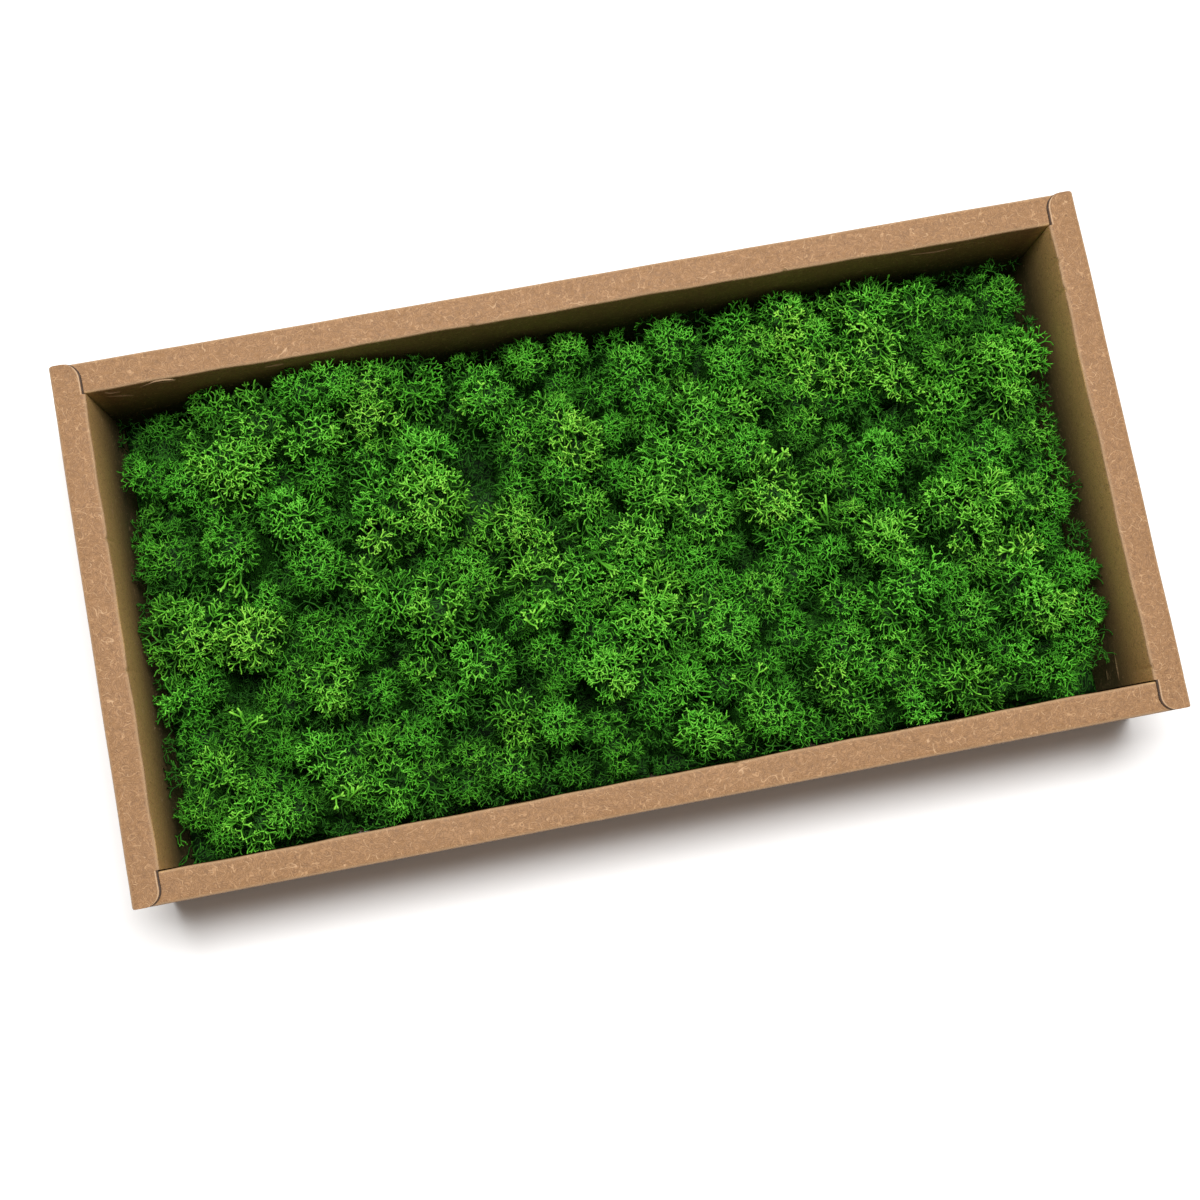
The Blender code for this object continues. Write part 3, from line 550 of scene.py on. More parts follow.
def make_tray(material):
    """The tray as one mesh of closed bodies: base, walls, rim tabs, tongues and creases.

    At the distance d from its end, a tab's rim loses r - sqrt(r squared - (r - d) squared) of its width, with
    r the radius of the rim's end, and its outer face steps back by the same with the outer corner's radius.
    """
    bottom = BOARD + INNER_WALL_CLEAR
    long_reach = TRAY_LENGTH / 2 - BOARD
    short_reach = INNER_Y - CORNER_CLEAR
    long_section = board_section(LONG_RIM_TOP, RIM_WIDTH, bottom)
    short_section = board_section(TRAY_HEIGHT, RIM_WIDTH, bottom)
    tab_section = board_section(TRAY_HEIGHT - TAB_SINK, RIM_WIDTH - RIM_END_NOTCH)
    to_end = (TRAY_DEPTH / 2 - short_reach + TAB_OVERLAP) * np.linspace(0, 1, TAB_STATIONS) ** TAB_CROWDING
    lost, back = (radius - np.sqrt(radius**2 - np.maximum(radius - to_end, 0) ** 2)
                  for radius in (RIM_END_RADIUS, OUTER_CORNER_RADIUS))
    bodies = [make_base()]
    for side in (-1, 1):
        def on_long_side(distance, height, place):
            """Points by their distance in from the long side, their height and their place along it."""
            return np.stack([place, side * (TRAY_DEPTH / 2 - distance), height], -1)

        def on_short_side(distance, height, place):
            """Points by their distance in from the short side, their height and their place along it."""
            return np.stack([side * (TRAY_LENGTH / 2 - distance), place, height], -1)

        places = stations(-long_reach, long_reach, PINCHES[PINCHES[:, 1] * side == INNER_Y, 0])
        still = np.zeros(len(places))
        bodies.append(fold_along(long_section, places, on_long_side, still, still))
        places = stations(-short_reach, short_reach, PINCHES[PINCHES[:, 0] * side == INNER_X, 1])
        still = np.zeros(len(places))
        bodies.append(fold_along(short_section, places, on_short_side, still, still))
        for end in (-1, 1):
            places = end * (TRAY_DEPTH / 2 - to_end)
            bodies.append(fold_along(tab_section, places, on_short_side, lost, back + TAB_SINK))
    for x_low, x_high, y_low, y_high in tongue_places(0.0):
        bodies.append(plate((x_low, x_high), (y_low, y_high), np.ones((1, 1), bool), TONGUE_BOTTOM,
                            bottom + TONGUE_LAP))
    bodies += [make_crease(*crease) for crease in CREASES]
    starts = np.cumsum([0] + [len(body[0]) for body in bodies])
    points = handled(np.concatenate([body[0] for body in bodies]))
    wear = np.concatenate([body[1] for body in bodies])
    quads = np.concatenate([body[2] + start for body, start in zip(bodies, starts)])
    faces = [face[:3] if face[2] == face[3] else face for face in quads.tolist()]
    x, y, z = np.abs(points.T)
    within_y = y < INNER_Y + WALL_NEAR
    # Painted light on the short inner walls, the right one brighter.
    painted_wall_light = (np.abs(x - INNER_X) < WALL_NEAR) & within_y & (z < TRAY_HEIGHT - WALL_BELOW_RIM)
    painted_wall_light = painted_wall_light * np.where(points[:, 0] > 0, RIGHT_WALL_LIGHT, LEFT_WALL_LIGHT)
    inside = (x < INNER_X + WALL_NEAR) & within_y | np.isclose(z, BOARD)
    # Painted shade: darker down the inner walls and on the base.
    deep = inside * np.clip((SHADE_TOP - z) / SHADE_DEPTH, 0, 1)
    tray = mesh_object("kraft_tray", points, faces, np.concatenate([body[3] for body in bodies]), material,
                       "wear", np.stack([wear, painted_wall_light, deep, np.ones_like(wear)], -1))
    tray.data.set_sharp_from_angle(angle=SHARP_ANGLE)
    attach(tray, "root")
    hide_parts("kraft_box")
    return tray


# Moss

class Thicket:
    """Points, triangles and growth_and_painted_light values of one cushion, gathered joint by joint for many
    twigs at once.
    """

    def __init__(self):
        self.points = []
        self.triangles = []
        self.growth_and_painted_light = []
        self.count = 0

    def add_points(self, points, age, traits, core=0.0):
        """Store points (twigs, n, 3) and their growth_and_painted_light: age x the painted light, the tone,
        and 1 on the core.
        """
        twigs, each = points.shape[:2]
        numbers = self.count + np.arange(twigs * each).reshape(twigs, each)
        growth_and_painted_light = np.repeat(np.hstack([traits, np.tile((core, 1.0), (twigs, 1))])[:, None], each, 1)
        growth_and_painted_light[..., 0] *= age
        self.points.append(points.reshape(-1, 3))
        self.growth_and_painted_light.append(growth_and_painted_light.reshape(-1, 4))
        self.count += twigs * each
        return numbers

    def add_triangles(self, *corners):
        """Store triangles by their three corners' numbers, given together or one by one."""
        numbers = corners[0] if len(corners) == 1 else np.stack(corners, -1)
        self.triangles.append(numbers.reshape(-1, 3))


def spin_frame(heading, hint):
    """Two unit vectors across each heading: the hint laid flat across it, and their cross product."""
    first = unit(hint - along(hint, heading) * heading)
    return first, np.cross(heading, first)


def triangle_round(centre, first, second, radius):
    """Three corners at 0, 120 and 240 degrees: centre + radius x (cos a x first + sin a x second)."""
    turns = np.arange(3)[None, :, None] * math.tau / 3
    spokes = np.cos(turns) * first[:, None] + np.sin(turns) * second[:, None]
    return centre[:, None] + radius[:, None, None] * spokes


def spiral_cap(draw, count, reach):
    """Unit vectors on a golden spiral over a cap round +Z that reaches down to a polar angle.

    Vector i of n has cos(polar angle) = 1 - (i + 1/2) / n x (1 - cos reach) and turns by the golden angle.
    """
    steps = np.arange(count)
    cosine = 1 - (steps + 0.5) / count * (1 - math.cos(reach))
    sine = np.sqrt(1 - cosine**2)
    turn = steps * GOLDEN_ANGLE + draw.uniform(0, math.tau)
    return np.stack([sine * np.cos(turn), sine * np.sin(turn), cosine], -1)


def cap_count(radius, reach, spacing):
    """How many places fit on a sphere's cap: tau x radius squared x (1 - cos reach) / spacing squared."""
    return round(math.tau * radius**2 * (1 - math.cos(reach)) / spacing**2)


def grow_joint(moss, base, heading, length, radius, age, traits):
    """A three-sided tube from each base triangle to an end triangle with a raised hub.

    The end's centre is the base's centre + length x heading. The next joints grow from the three triangles
    between the end's corners and its hub, so the twig stays one closed skin.
    """
    numbers, corners = base
    middle = corners.mean(1)
    centre = middle + heading * length[:, None]
    end = triangle_round(centre, *spin_frame(heading, corners[:, 0] - middle), radius)
    hub = centre + heading * (HUB_RISE * radius)[:, None]
    end_numbers = moss.add_points(end, age, traits)
    hub_numbers = moss.add_points(hub[:, None], age, traits)[:, 0]
    forks = []
    for k in range(3):
        after = (k + 1) % 3
        moss.add_triangles(numbers[:, k], numbers[:, after], end_numbers[:, after])
        moss.add_triangles(numbers[:, k], end_numbers[:, after], end_numbers[:, k])
        forks.append((np.stack([end_numbers[:, k], end_numbers[:, after], hub_numbers], -1),
                      np.stack([end[:, k], end[:, after], hub], 1),
                      unit((end[:, k] + end[:, after]) / 2 - centre)))
    fork_numbers, fork_corners, out = (np.concatenate(parts) for parts in zip(*forks))
    return (fork_numbers, fork_corners), out, np.concatenate([heading] * 3)


def grow_spike(moss, base, heading, length, traits):
    """A spike from each base triangle: its apex is the base's centre + length x heading."""
    numbers, corners = base
    apex = corners.mean(1) + heading * length[:, None]
    apex_number = moss.add_points(apex[:, None], 1.0, traits)[:, 0]
    for k in range(3):
        moss.add_triangles(numbers[:, k], numbers[:, (k + 1) % 3], apex_number)


def fork_heading(draw, heading, out, normal, tilt, lean):
    """The parent's heading tipped outwards by the tilt, pulled by lean towards the tuft's own normal."""
    angle = np.radians(draw.uniform(*tilt, len(heading)))[:, None]
    tipped = np.cos(angle) * heading + np.sin(angle) * out
    return unit(tipped + lean * normal + draw.normal(0.0, FORK_STRAY, heading.shape))


def grow_twigs(moss, draw, roots, normals, size, traits, style):
    """Forked twigs: a stem, then one set of arms after another, each from a third of the one before.

    style gives the span of each joint and which share of its places goes on growing. The others stay closed.
    Every length is the twig's size times a draw from the joint's span. The last joints end in spikes or in
    blunt tips, which are a short joint whose own places all stay closed.
    """
    thick = style["thick"] * (THICK_BY_SIZE[0] + THICK_BY_SIZE[1] * size)
    foot = triangle_round(roots, *spin_frame(normals, draw.normal(0.0, 1.0, normals.shape)), thick)
    numbers = moss.add_points(foot, 0.0, traits)
    moss.add_triangles(numbers[:, ::-1])
    base = (numbers, foot)
    heading = unit(normals + draw.normal(0.0, ROOT_STRAY, normals.shape))
    ages = len(style["spans"]) + bool(style["spikes"])
    for joint, (span, keep) in enumerate(zip(style["spans"], style["keep"])):
        length = size * draw.uniform(*span, len(heading))
        base, out, parent = grow_joint(moss, base, heading, length, thick, (joint + 1) / ages, traits)
        grown = draw.uniform(0, 1, len(out)) < keep
        moss.add_triangles(base[0][~grown])
        base = (base[0][grown], base[1][grown])
        normals, size, traits, thick = (np.concatenate([value] * 3)[grown]
                                        for value in (normals, size, traits, TAPER * thick))
        heading = fork_heading(draw, parent[grown], out[grown], normals, style["tilt"], style["lean"])
    if style["spikes"]:
        grow_spike(moss, base, heading, size * draw.uniform(*style["spikes"], len(heading)), traits)


def sphere_tops(x, y, middles, radius):
    """Height of the highest sphere over each point, and far below where there is none.

    A sphere's height is its middle's + sqrt(radius squared - distance squared).
    """
    across = distances(x, y, middles)
    rise = np.sqrt(np.maximum(radius**2 - across**2, 0.0))
    return np.where(across < radius, middles[:, 2] + rise, -TRAY_HEIGHT).max(1)


def coarseness(x, y):
    """From 0 in fine moss to 1 in the middle of a coarse patch: the highest of their bell curves."""
    return np.exp(-(distances(x, y, COARSE_PATCHES) / COARSE_REACH) ** 2).max(1)


def mean_top(x, y):
    """Mean height of the head tops round each point, each weighed by a bell curve of its distance."""
    weight = np.exp(-(distances(x, y, HEADS) / FILL_REACH) ** 2)
    return (weight * (TRAY_HEIGHT - HEADS[:, 3])).sum(1) / weight.sum(1)


def hole_depth(x, y):
    """1 in the middle of a dark hole, falling to 0 outside it: HOLE_EDGE - distance / radius."""
    return np.clip(HOLE_EDGE - distances(x, y, HOLES) / HOLES[:, 2], 0, 1).max(1)


def painted_shadow(x, y):
    """From 0 up to 1 in the middle of a place of painted shadow: the highest of their bell curves."""
    return np.exp(-(distances(x, y, PAINTED_SHADOW_PLACES) / PAINTED_SHADOW_PLACES[:, 2]) ** 2).max(1)


def plant_tufts():
    """Rows of all the tufts, which are small spheres: x, y, z, radius, head's x, y, z, tone, coarse.

    A head is a sphere whose top is its drop below the rim. Its tufts' middles lie on a golden spiral a little
    inside it. Low tufts on a jittered square grid fill the ground between the heads.
    """
    draw = np.random.default_rng(SEED)
    rows = []
    for (head_x, head_y, radius, drop), coarse in zip(HEADS, coarseness(*HEADS[:, :2].T)):
        coarse = max(coarse, draw.uniform(*COARSE_RANGE) * (draw.uniform() < COARSE_SHARE))
        count = max(LEAST_TUFTS, cap_count(radius, HEAD_REACH, TUFT_SPACING * (1 + COARSE_SWELL * coarse)))
        normals = spiral_cap(draw, count, HEAD_REACH)
        normals = unit(normals + draw.normal(0.0, SPREAD_STRAY, (count, 3)))
        tuft = draw.uniform(*TUFT_RADIUS, (count, 1)) * (1 + COARSE_SWELL * coarse)
        centre = np.array([head_x, head_y, TRAY_HEIGHT - drop - radius])
        middle = centre + normals * (radius - TUFT_SINK * tuft + draw.uniform(*TUFT_STRAY, (count, 1)))
        tone = draw.uniform(*TONE_RANGE) + COARSE_TONE * coarse + draw.normal(0, TUFT_TONE_STRAY, (count, 1))
        rows.append(np.hstack([middle, tuft, np.tile(centre, (count, 1)), np.clip(tone, 0, 1),
                               np.full((count, 1), coarse)]))
    grids = np.meshgrid(*(np.arange(-reach, reach + FILL_SPACING / 2, FILL_SPACING)
                          for reach in (INNER_X - FILL_MARGIN, INNER_Y - FILL_MARGIN)))
    x, y = (grid.ravel() + draw.uniform(-FILL_STRAY, FILL_STRAY, grid.size) for grid in grids)
    z = mean_top(x, y) - FILL_DEPTH - HOLE_DEPTH * hole_depth(x, y)
    z += draw.uniform(-FILL_RISE, FILL_RISE, len(x))
    tuft = draw.uniform(*TUFT_RADIUS, len(x))
    coarse = draw.uniform(*FILL_COARSE_RANGE, len(x)) * (draw.uniform(0, 1, len(x)) < FILL_COARSE_SHARE)
    tone = draw.uniform(*TONE_RANGE, len(x))
    rows.append(np.stack([x, y, z - tuft, tuft, x, y, z - FILL_CENTRE, tone, coarse], -1))
    return np.concatenate(rows)


def tuft_twigs(tufts, mine, draw, spacing):
    """Roots, normals, sizes and traits (painted light, tone) of the twigs of the tufts numbered in mine.

    Each tuft's twigs fan out from its middle on a golden spiral round the line from its head's middle. Twigs
    that end deep in another tuft, or far under the highest one there, are left out. The painted light, a
    shade, falls off with the depth of a twig's end under the head tops round it, from a head's top to its
    flanks, and in holes and places of painted shadow.
    """
    found = []
    for number in mine:
        tuft = tufts[number]
        middle, radius, head, tone = tuft[:3], tuft[3], tuft[4:7], tuft[7]
        count = max(LEAST_TWIGS, cap_count(radius, TUFT_REACH, spacing * draw.uniform(*SPACING_STRAY)))
        spiral = spiral_cap(draw, count, TUFT_REACH)
        axis = unit(middle - head)
        first, second = spin_frame(axis[None], draw.normal(0, 1, (1, 3)))
        spread = spiral @ np.concatenate([first, second, axis[None]])
        spread = unit(spread + draw.normal(0, SPREAD_STRAY, spread.shape))
        ends = middle + spread * radius
        x, y, z = ends.T
        gap = np.linalg.norm(ends[:, None] - tufts[:, :3], axis=-1) - tufts[:, 3]
        gap[:, number] = math.inf
        shown = (gap.min(1) > -BURIED) & (sphere_tops(x, y, tufts, tufts[:, 3]) - z < SHADED)
        shown &= (np.abs(x) < INNER_X - END_CLEAR) & (np.abs(y) < INNER_Y - END_CLEAR)
        shown &= x - y < EMPTY_CORNER
        spread, up = spread[shown], np.clip(unit(ends[shown] - head)[:, 2], 0, 1)
        # Painted light: a head's top brighter, its flanks darker.
        shade = TOP_SHADE - FLANK_SHADE * (1 - up) + HEAD_STRAY * math.sin(head[:2] @ HEAD_RATES)
        size = radius / TUFT_RADIUS[1] * draw.uniform(*SIZE_STRAY, len(up))
        tone = np.clip(tone + draw.normal(0, TWIG_TONE_STRAY, len(up)), 0, 1)
        found.append(np.column_stack([middle + spread * (ROOT_DEPTH * radius), spread, size, tone, shade]))
    found = np.concatenate(found)
    roots, normals, (size, tone, shade) = found[:, :3], found[:, 3:6], found[:, 6:].T
    x, y, z = (roots + normals * (TWIG_REACH * size)[:, None]).T
    # Painted shade: darker with depth under the head tops, in holes and in places of painted shadow.
    light = np.clip(FULL_LIGHT - (mean_top(x, y) + LIT_ABOVE - z) / DARK_DEPTH, LEAST_LIGHT, 1.0) * shade
    light *= (1 - HOLE_SHADE * hole_depth(x, y)) * (1 - PAINTED_SHADOW_STRENGTH * painted_shadow(x, y))
    return roots, normals, size, np.stack([light, tone], -1)


def reach_to_edge(index, spokes):
    """Distance from a cushion's middle to its cell's edge along each spoke: the nearest of the cell's sides.

    A side at the span s, whose normal has the dot product c with a spoke, lies at s / c along it.
    """
    middle = CUSHIONS[index]
    across = np.delete(CUSHIONS, index, axis=0) - middle
    normals = np.vstack([unit(across), [(1, 0), (-1, 0), (0, 1), (0, -1)]])
    walls = np.array([INNER_X - middle[0], INNER_X + middle[0], INNER_Y - middle[1], INNER_Y + middle[1]])
    spans = np.concatenate([np.linalg.norm(across, axis=1) / 2, walls - WALL_CLEAR])
    toward = spokes @ normals.T
    with np.errstate(divide="ignore"):
        return np.where(toward > 0, spans / toward, math.inf).min(1)


def add_core(moss, index):
    """The dark body under the twigs, near black as painted shade: a round grid over the cushion's cell, a
    depth below the domes.

    It is deeper in the dark holes, a product of two sines makes it uneven, and it slopes down to the empty
    corner. Ring k of n lies at k / n of the way from the cushion's middle to its cell's edge, and its first
    spoke points at the nearest corner of the tray. The last ring goes down to the bottom, where a middle
    point closes it.
    """
    middle = CUSHIONS[index]
    corner = np.sign(middle) * (INNER_X - WALL_CLEAR, INNER_Y - WALL_CLEAR) - middle
    turns = np.arange(CORE_SPOKES) * math.tau / CORE_SPOKES + math.atan2(corner[1], corner[0])
    spokes = np.stack([np.cos(turns), np.sin(turns)], -1)
    share = np.arange(1, CORE_RINGS + 1) / CORE_RINGS
    plan = middle + share[:, None, None] * reach_to_edge(index, spokes)[:, None] * spokes
    x, y = np.vstack([plan.reshape(-1, 2), middle]).T
    radius = HEADS[:, 2] - CORE_INSET
    domes = np.column_stack([HEADS[:, :2], TRAY_HEIGHT - HEADS[:, 3] - radius])
    height = np.maximum(sphere_tops(x, y, domes, radius), UNDERGROWTH)
    height -= CORE_DEPTH + CORE_HOLE * hole_depth(x, y)
    height += CORE_WAVE * np.sin(CORE_RATES[0] * x) * np.sin(CORE_RATES[1] * y)
    height = np.maximum(height, CORE_BOTTOM + CORE_LEAST)
    slope = CORNER_SLOPE * np.maximum(EMPTY_CORNER - (x - y), 0.0)
    height = np.minimum(height, CORE_BOTTOM + CORNER_LEAST + slope)
    low_plan = np.vstack([plan[-1], middle])
    low = np.column_stack([low_plan, np.full(len(low_plan), CORE_BOTTOM)])
    points = np.concatenate([np.stack([x, y, height], -1), low])
    # The core takes no painted light, so the ramp gives it the near black painted shade.
    numbers = moss.add_points(points[None], 0.0, np.zeros((1, 2)), 1.0)[0]
    top_middle, low_middle = numbers[CORE_RINGS * CORE_SPOKES], numbers[-1]
    rings = np.delete(numbers[:-1], CORE_RINGS * CORE_SPOKES).reshape(-1, CORE_SPOKES)
    inner, outer = rings[:-1], rings[1:]
    outer_next = np.roll(outer, -1, 1)
    moss.add_triangles(inner, outer, outer_next)
    moss.add_triangles(inner, outer_next, np.roll(inner, -1, 1))
    moss.add_triangles(np.full(CORE_SPOKES, top_middle), rings[0], np.roll(rings[0], -1))
    moss.add_triangles(np.full(CORE_SPOKES, low_middle), np.roll(rings[-1], -1), rings[-1])


def inside_tray(points):
    """Points pressed back to just inside the inner walls, and up to the core's bottom."""
    walls = np.array([INNER_X - WALL_CLEAR, INNER_Y - WALL_CLEAR])
    return np.column_stack([np.clip(points[:, :2], -walls, walls), np.maximum(points[:, 2], CORE_BOTTOM)])


def nearest_cushion(x, y):
    """Number of the cushion whose middle is nearest to each point."""
    return distances(x, y, CUSHIONS).argmin(1)


def make_cushion(index, tufts, material):
    """One cushion: its dark core, the coarse and the fine twigs of its tufts, and its bare stems."""
    draw = np.random.default_rng(SEED + 1 + index)
    moss = Thicket()
    add_core(moss, index)
    owned = nearest_cushion(tufts[:, 4], tufts[:, 5]) == index
    is_coarse = draw.uniform(0, 1, len(tufts)) < tufts[:, 8]
    for mine, style in ((owned & is_coarse, COARSE_TWIG), (owned & ~is_coarse, FINE_TWIG)):
        twigs = tuft_twigs(tufts, np.flatnonzero(mine), draw, style["spacing"])
        grow_twigs(moss, draw, *twigs, style)
    x, y, turn = STEMS[nearest_cushion(STEMS[:, 0], STEMS[:, 1]) == index].T
    turn = np.radians(turn)
    rise = draw.uniform(*STEM_RISE, len(x))
    grow_twigs(moss, draw, np.stack([x, y, mean_top(x, y) - STEM_FOOT], -1),
               unit(np.stack([np.cos(turn), np.sin(turn), rise], -1)), np.ones(len(x)),
               np.tile(STEM_TRAITS, (len(x), 1)), STEM_TWIG)
    triangles = np.concatenate(moss.triangles)
    piece = mesh_object(f"moss_cushion_{index + 1:02d}", inside_tray(np.concatenate(moss.points)),
                        triangles.tolist(), np.ones(len(triangles), bool), material,
                        "growth_and_painted_light", np.concatenate(moss.growth_and_painted_light))
    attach(piece, "root")
    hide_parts(f"moss_clump_{index + 1:02d}")
    return piece


# Materials

LINE_DETAIL = 1.0

MOSS_SURFACE = {"Roughness": 0.65, "Specular IOR Level": 0.08}
# The ramps' near black root is painted shade of the deep moss.
MOSS_DARK = (0.0, (0.006, 0.03, 0.003, 1))
COOL_MOSS = (MOSS_DARK, (0.12, (0.014, 0.07, 0.007, 1)), (0.38, (0.035, 0.175, 0.012, 1)),
             (0.7, (0.064, 0.345, 0.019, 1)), (1.0, (0.14, 0.55, 0.047, 1)))
WARM_MOSS = (MOSS_DARK, (0.12, (0.016, 0.07, 0.006, 1)), (0.38, (0.047, 0.178, 0.013, 1)),
             (0.7, (0.12, 0.41, 0.026, 1)), (1.0, (0.29, 0.66, 0.07, 1)))
MOSS_NOISE = {"scale": 900, "detail": 3}
CORE_LINES = {"Scale": 300, "Waves": 8}
# A tint is a colour and a strength, below zero where it acts on the part of a mask below zero.
# Dim lines on the core: twigs in painted shade.
CORE_LIGHT_LINE = ((0.03, 0.15, 0.012, 1), 0.8)
CORE_DARK_LINE = ((0.001, 0.006, 0.001, 1), -0.8)

KRAFT_SURFACE = {"Roughness": 0.6, "Specular IOR Level": 0.3}
BLACK = (0, 0, 0, 1)
WHITE = (1, 1, 1, 1)
KRAFT_MOTTLE = ((0.3, (0.24, 0.128, 0.056, 1)), (0.7, (0.31, 0.167, 0.074, 1)))
MOTTLE_NOISE = {"scale": 700, "detail": 6}
# Painted light on the short inner walls, and painted shade deep in the tray.
PAINTED_WALL_LIGHT_TINT = ((0.66, 0.4, 0.155, 1), 0.9)
PAINTED_DEEP_SHADE_TINT = ((0.04, 0.04, 0.015, 1), 0.9)
KRAFT_LINES = {"Scale": 420, "Waves": 11}
LIGHT_LINE = ((1.55, 1.55, 1.6, 1), 0.26)
DARK_LINE = ((0.45, 0.42, 0.38, 1), -0.26)
GRAIN_NOISE = {"scale": 2200, "detail": 2}
SPECKS = ((0.27, WHITE), (0.38, BLACK))
SPECK_TINT = ((0.13, 0.062, 0.026, 1), 0.65)
# Fibres: scale, shift, width and gate of their mask, then their tint.
PALE_FIBRES = ((420, (0.0, 0.0, 0.0), 0.022, 0.47), (0.54, 0.33, 0.17, 1), 0.6)
DARK_FIBRES = ((460, (0.31, 0.17, 0.23), 0.024, 0.46), (0.15, 0.074, 0.033, 1), 0.55)
LONG_FIBRES = ((210, (0.11, 0.37, 0.05), 0.010, 0.55), (0.60, 0.39, 0.22, 1), 0.7)
FIBRE_DETAIL = 0.5
PATCH_DETAIL = 2.0
PATCH_SCALE = 1.6
GATE_WIDTH = 0.04
# Pale worn lines, also painted highlights and painted reflections; dark cut edges, also painted shadow lines.
WORN_AND_HIGHLIGHT_TINT = ((0.60, 0.42, 0.26, 1), 0.75)
CUT_EDGE_AND_SHADOW_TINT = ((0.03, 0.014, 0.006, 1), -0.95)
LINE_HEIGHT = 0.35
BUMP_STRENGTH = 0.5
BUMP_HEIGHT = 0.12


def add_node(tree, kind, inputs, **settings):
    """A node of a kind with its settings made, and each input linked to a socket or set to a value."""
    node = tree.nodes.new(kind)
    for name, value in settings.items():
        setattr(node, name, value)
    for key, value in inputs.items():
        if isinstance(value, bpy.types.NodeSocket):
            tree.links.new(value, node.inputs[key])
        else:
            node.inputs[key].default_value = value
    return node


def math_node(tree, operation, *values):
    """The result of a Math node on the given sockets or numbers."""
    return add_node(tree, "ShaderNodeMath", dict(enumerate(values)), operation=operation).outputs[0]


def noise_node(tree, place, scale, detail):
    """Noise of the given number of cells in a metre."""
    inputs = {"Vector": place, "Scale": scale, "Detail": detail}
    return add_node(tree, "ShaderNodeTexNoise", inputs).outputs["Fac"]


def ramp_node(tree, source, stops):
    """A colour ramp with the given (place, colour) stops, read at a socket's value."""
    ramp = add_node(tree, "ShaderNodeValToRGB", {"Fac": source})
    elements = ramp.color_ramp.elements
    while len(elements) < len(stops):
        elements.new(0.5)
    for element, (place, colour) in zip(elements, stops):
        element.position = place
        element.color = colour
    return ramp.outputs["Color"]


def tint(tree, below, mask, above, strength, blend="MIX"):
    """The colour below with the one above laid over it by the mask x the strength."""
    amount = math_node(tree, "MULTIPLY", mask, strength)
    mix = add_node(tree, "ShaderNodeMix", {"Factor": amount, "A": below, "B": above},
                   data_type="RGBA", blend_type=blend)
    return mix.outputs["Result"]


def new_material(name, values):
    """A material, its node tree and its shader, with values set on the shader's own sockets."""
    material = bpy.data.materials.new(name)
    material.use_nodes = True
    shader = material.node_tree.nodes["Principled BSDF"]
    for socket, value in values.items():
        shader.inputs[socket].default_value = value
    return material, material.node_tree, shader


def object_place(tree):
    """The point's place on the object, in metres."""
    return add_node(tree, "ShaderNodeTexCoord", {}).outputs["Object"]


def attribute_parts(tree, name):
    """The red, green and blue of a colour attribute."""
    attribute = add_node(tree, "ShaderNodeAttribute", {}, attribute_name=name)
    return add_node(tree, "ShaderNodeSeparateColor", {"Color": attribute.outputs["Color"]}).outputs[:3]


def make_winding_group():
    """A group that makes winding lines from -1 to 1: the sine of tau x a noise x the number of waves."""
    group = bpy.data.node_groups.new("winding_lines", "ShaderNodeTree")
    group.interface.new_socket("Place", in_out="INPUT", socket_type="NodeSocketVector")
    group.interface.new_socket("Scale", in_out="INPUT", socket_type="NodeSocketFloat")
    group.interface.new_socket("Waves", in_out="INPUT", socket_type="NodeSocketFloat")
    group.interface.new_socket("Lines", in_out="OUTPUT", socket_type="NodeSocketFloat")
    given = add_node(group, "NodeGroupInput", {}).outputs
    noise = noise_node(group, given["Place"], given["Scale"], LINE_DETAIL)
    turns = math_node(group, "MULTIPLY", noise, given["Waves"])
    lines = math_node(group, "SINE", math_node(group, "MULTIPLY", turns, math.tau))
    add_node(group, "NodeGroupOutput", {"Lines": lines})
    return group


def winding_lines(tree, group, place, values):
    """The lines of the group, placed in a material with its own scale and waves."""
    return add_node(tree, "ShaderNodeGroup", {"Place": place, **values}, node_tree=group).outputs["Lines"]


def moss_material(lines_group):
    """Dyed lichen: near black at the root, which is painted shade, green along the twig, bright yellow-green
    at the tip.

    The attribute's red is the age x the painted light, which a noise makes stray. The square of its green,
    the tone, mixes the warm colours into the cool ones. Its blue is 1 on the core, which gets lines like thin
    twigs.
    """
    material, tree, shader = new_material("dyed_moss", MOSS_SURFACE)
    age, tone, core = attribute_parts(tree, "growth_and_painted_light")
    place = object_place(tree)
    least, stray = AGE_BY_NOISE
    # The red read as age is the age x the painted light.
    age = math_node(tree, "MULTIPLY", math_node(tree, "MULTIPLY_ADD", noise_node(tree, place, **MOSS_NOISE),
                                                stray, least), age)
    colour = tint(tree, ramp_node(tree, age, COOL_MOSS), tone, ramp_node(tree, age, WARM_MOSS), tone)
    on_core = math_node(tree, "MULTIPLY", core, winding_lines(tree, lines_group, place, CORE_LINES))
    colour = tint(tree, colour, on_core, *CORE_LIGHT_LINE)
    colour = tint(tree, colour, on_core, *CORE_DARK_LINE)
    tree.links.new(colour, shader.inputs["Base Color"])
    return material


def fibre_mask(tree, place, scale, shift, width, gate):
    """Short curved lines: where one noise is within a width of its middle and another is above the gate."""
    shifted = add_node(tree, "ShaderNodeMapping", {"Vector": place, "Location": shift}).outputs["Vector"]
    near = ramp_node(tree, noise_node(tree, shifted, scale, FIBRE_DETAIL),
                     ((0.5 - width, BLACK), (0.5, WHITE), (0.5 + width, BLACK)))
    kept = ramp_node(tree, noise_node(tree, shifted, PATCH_SCALE * scale, PATCH_DETAIL),
                     ((gate, BLACK), (gate + GATE_WIDTH, WHITE)))
    return math_node(tree, "MULTIPLY", near, kept)


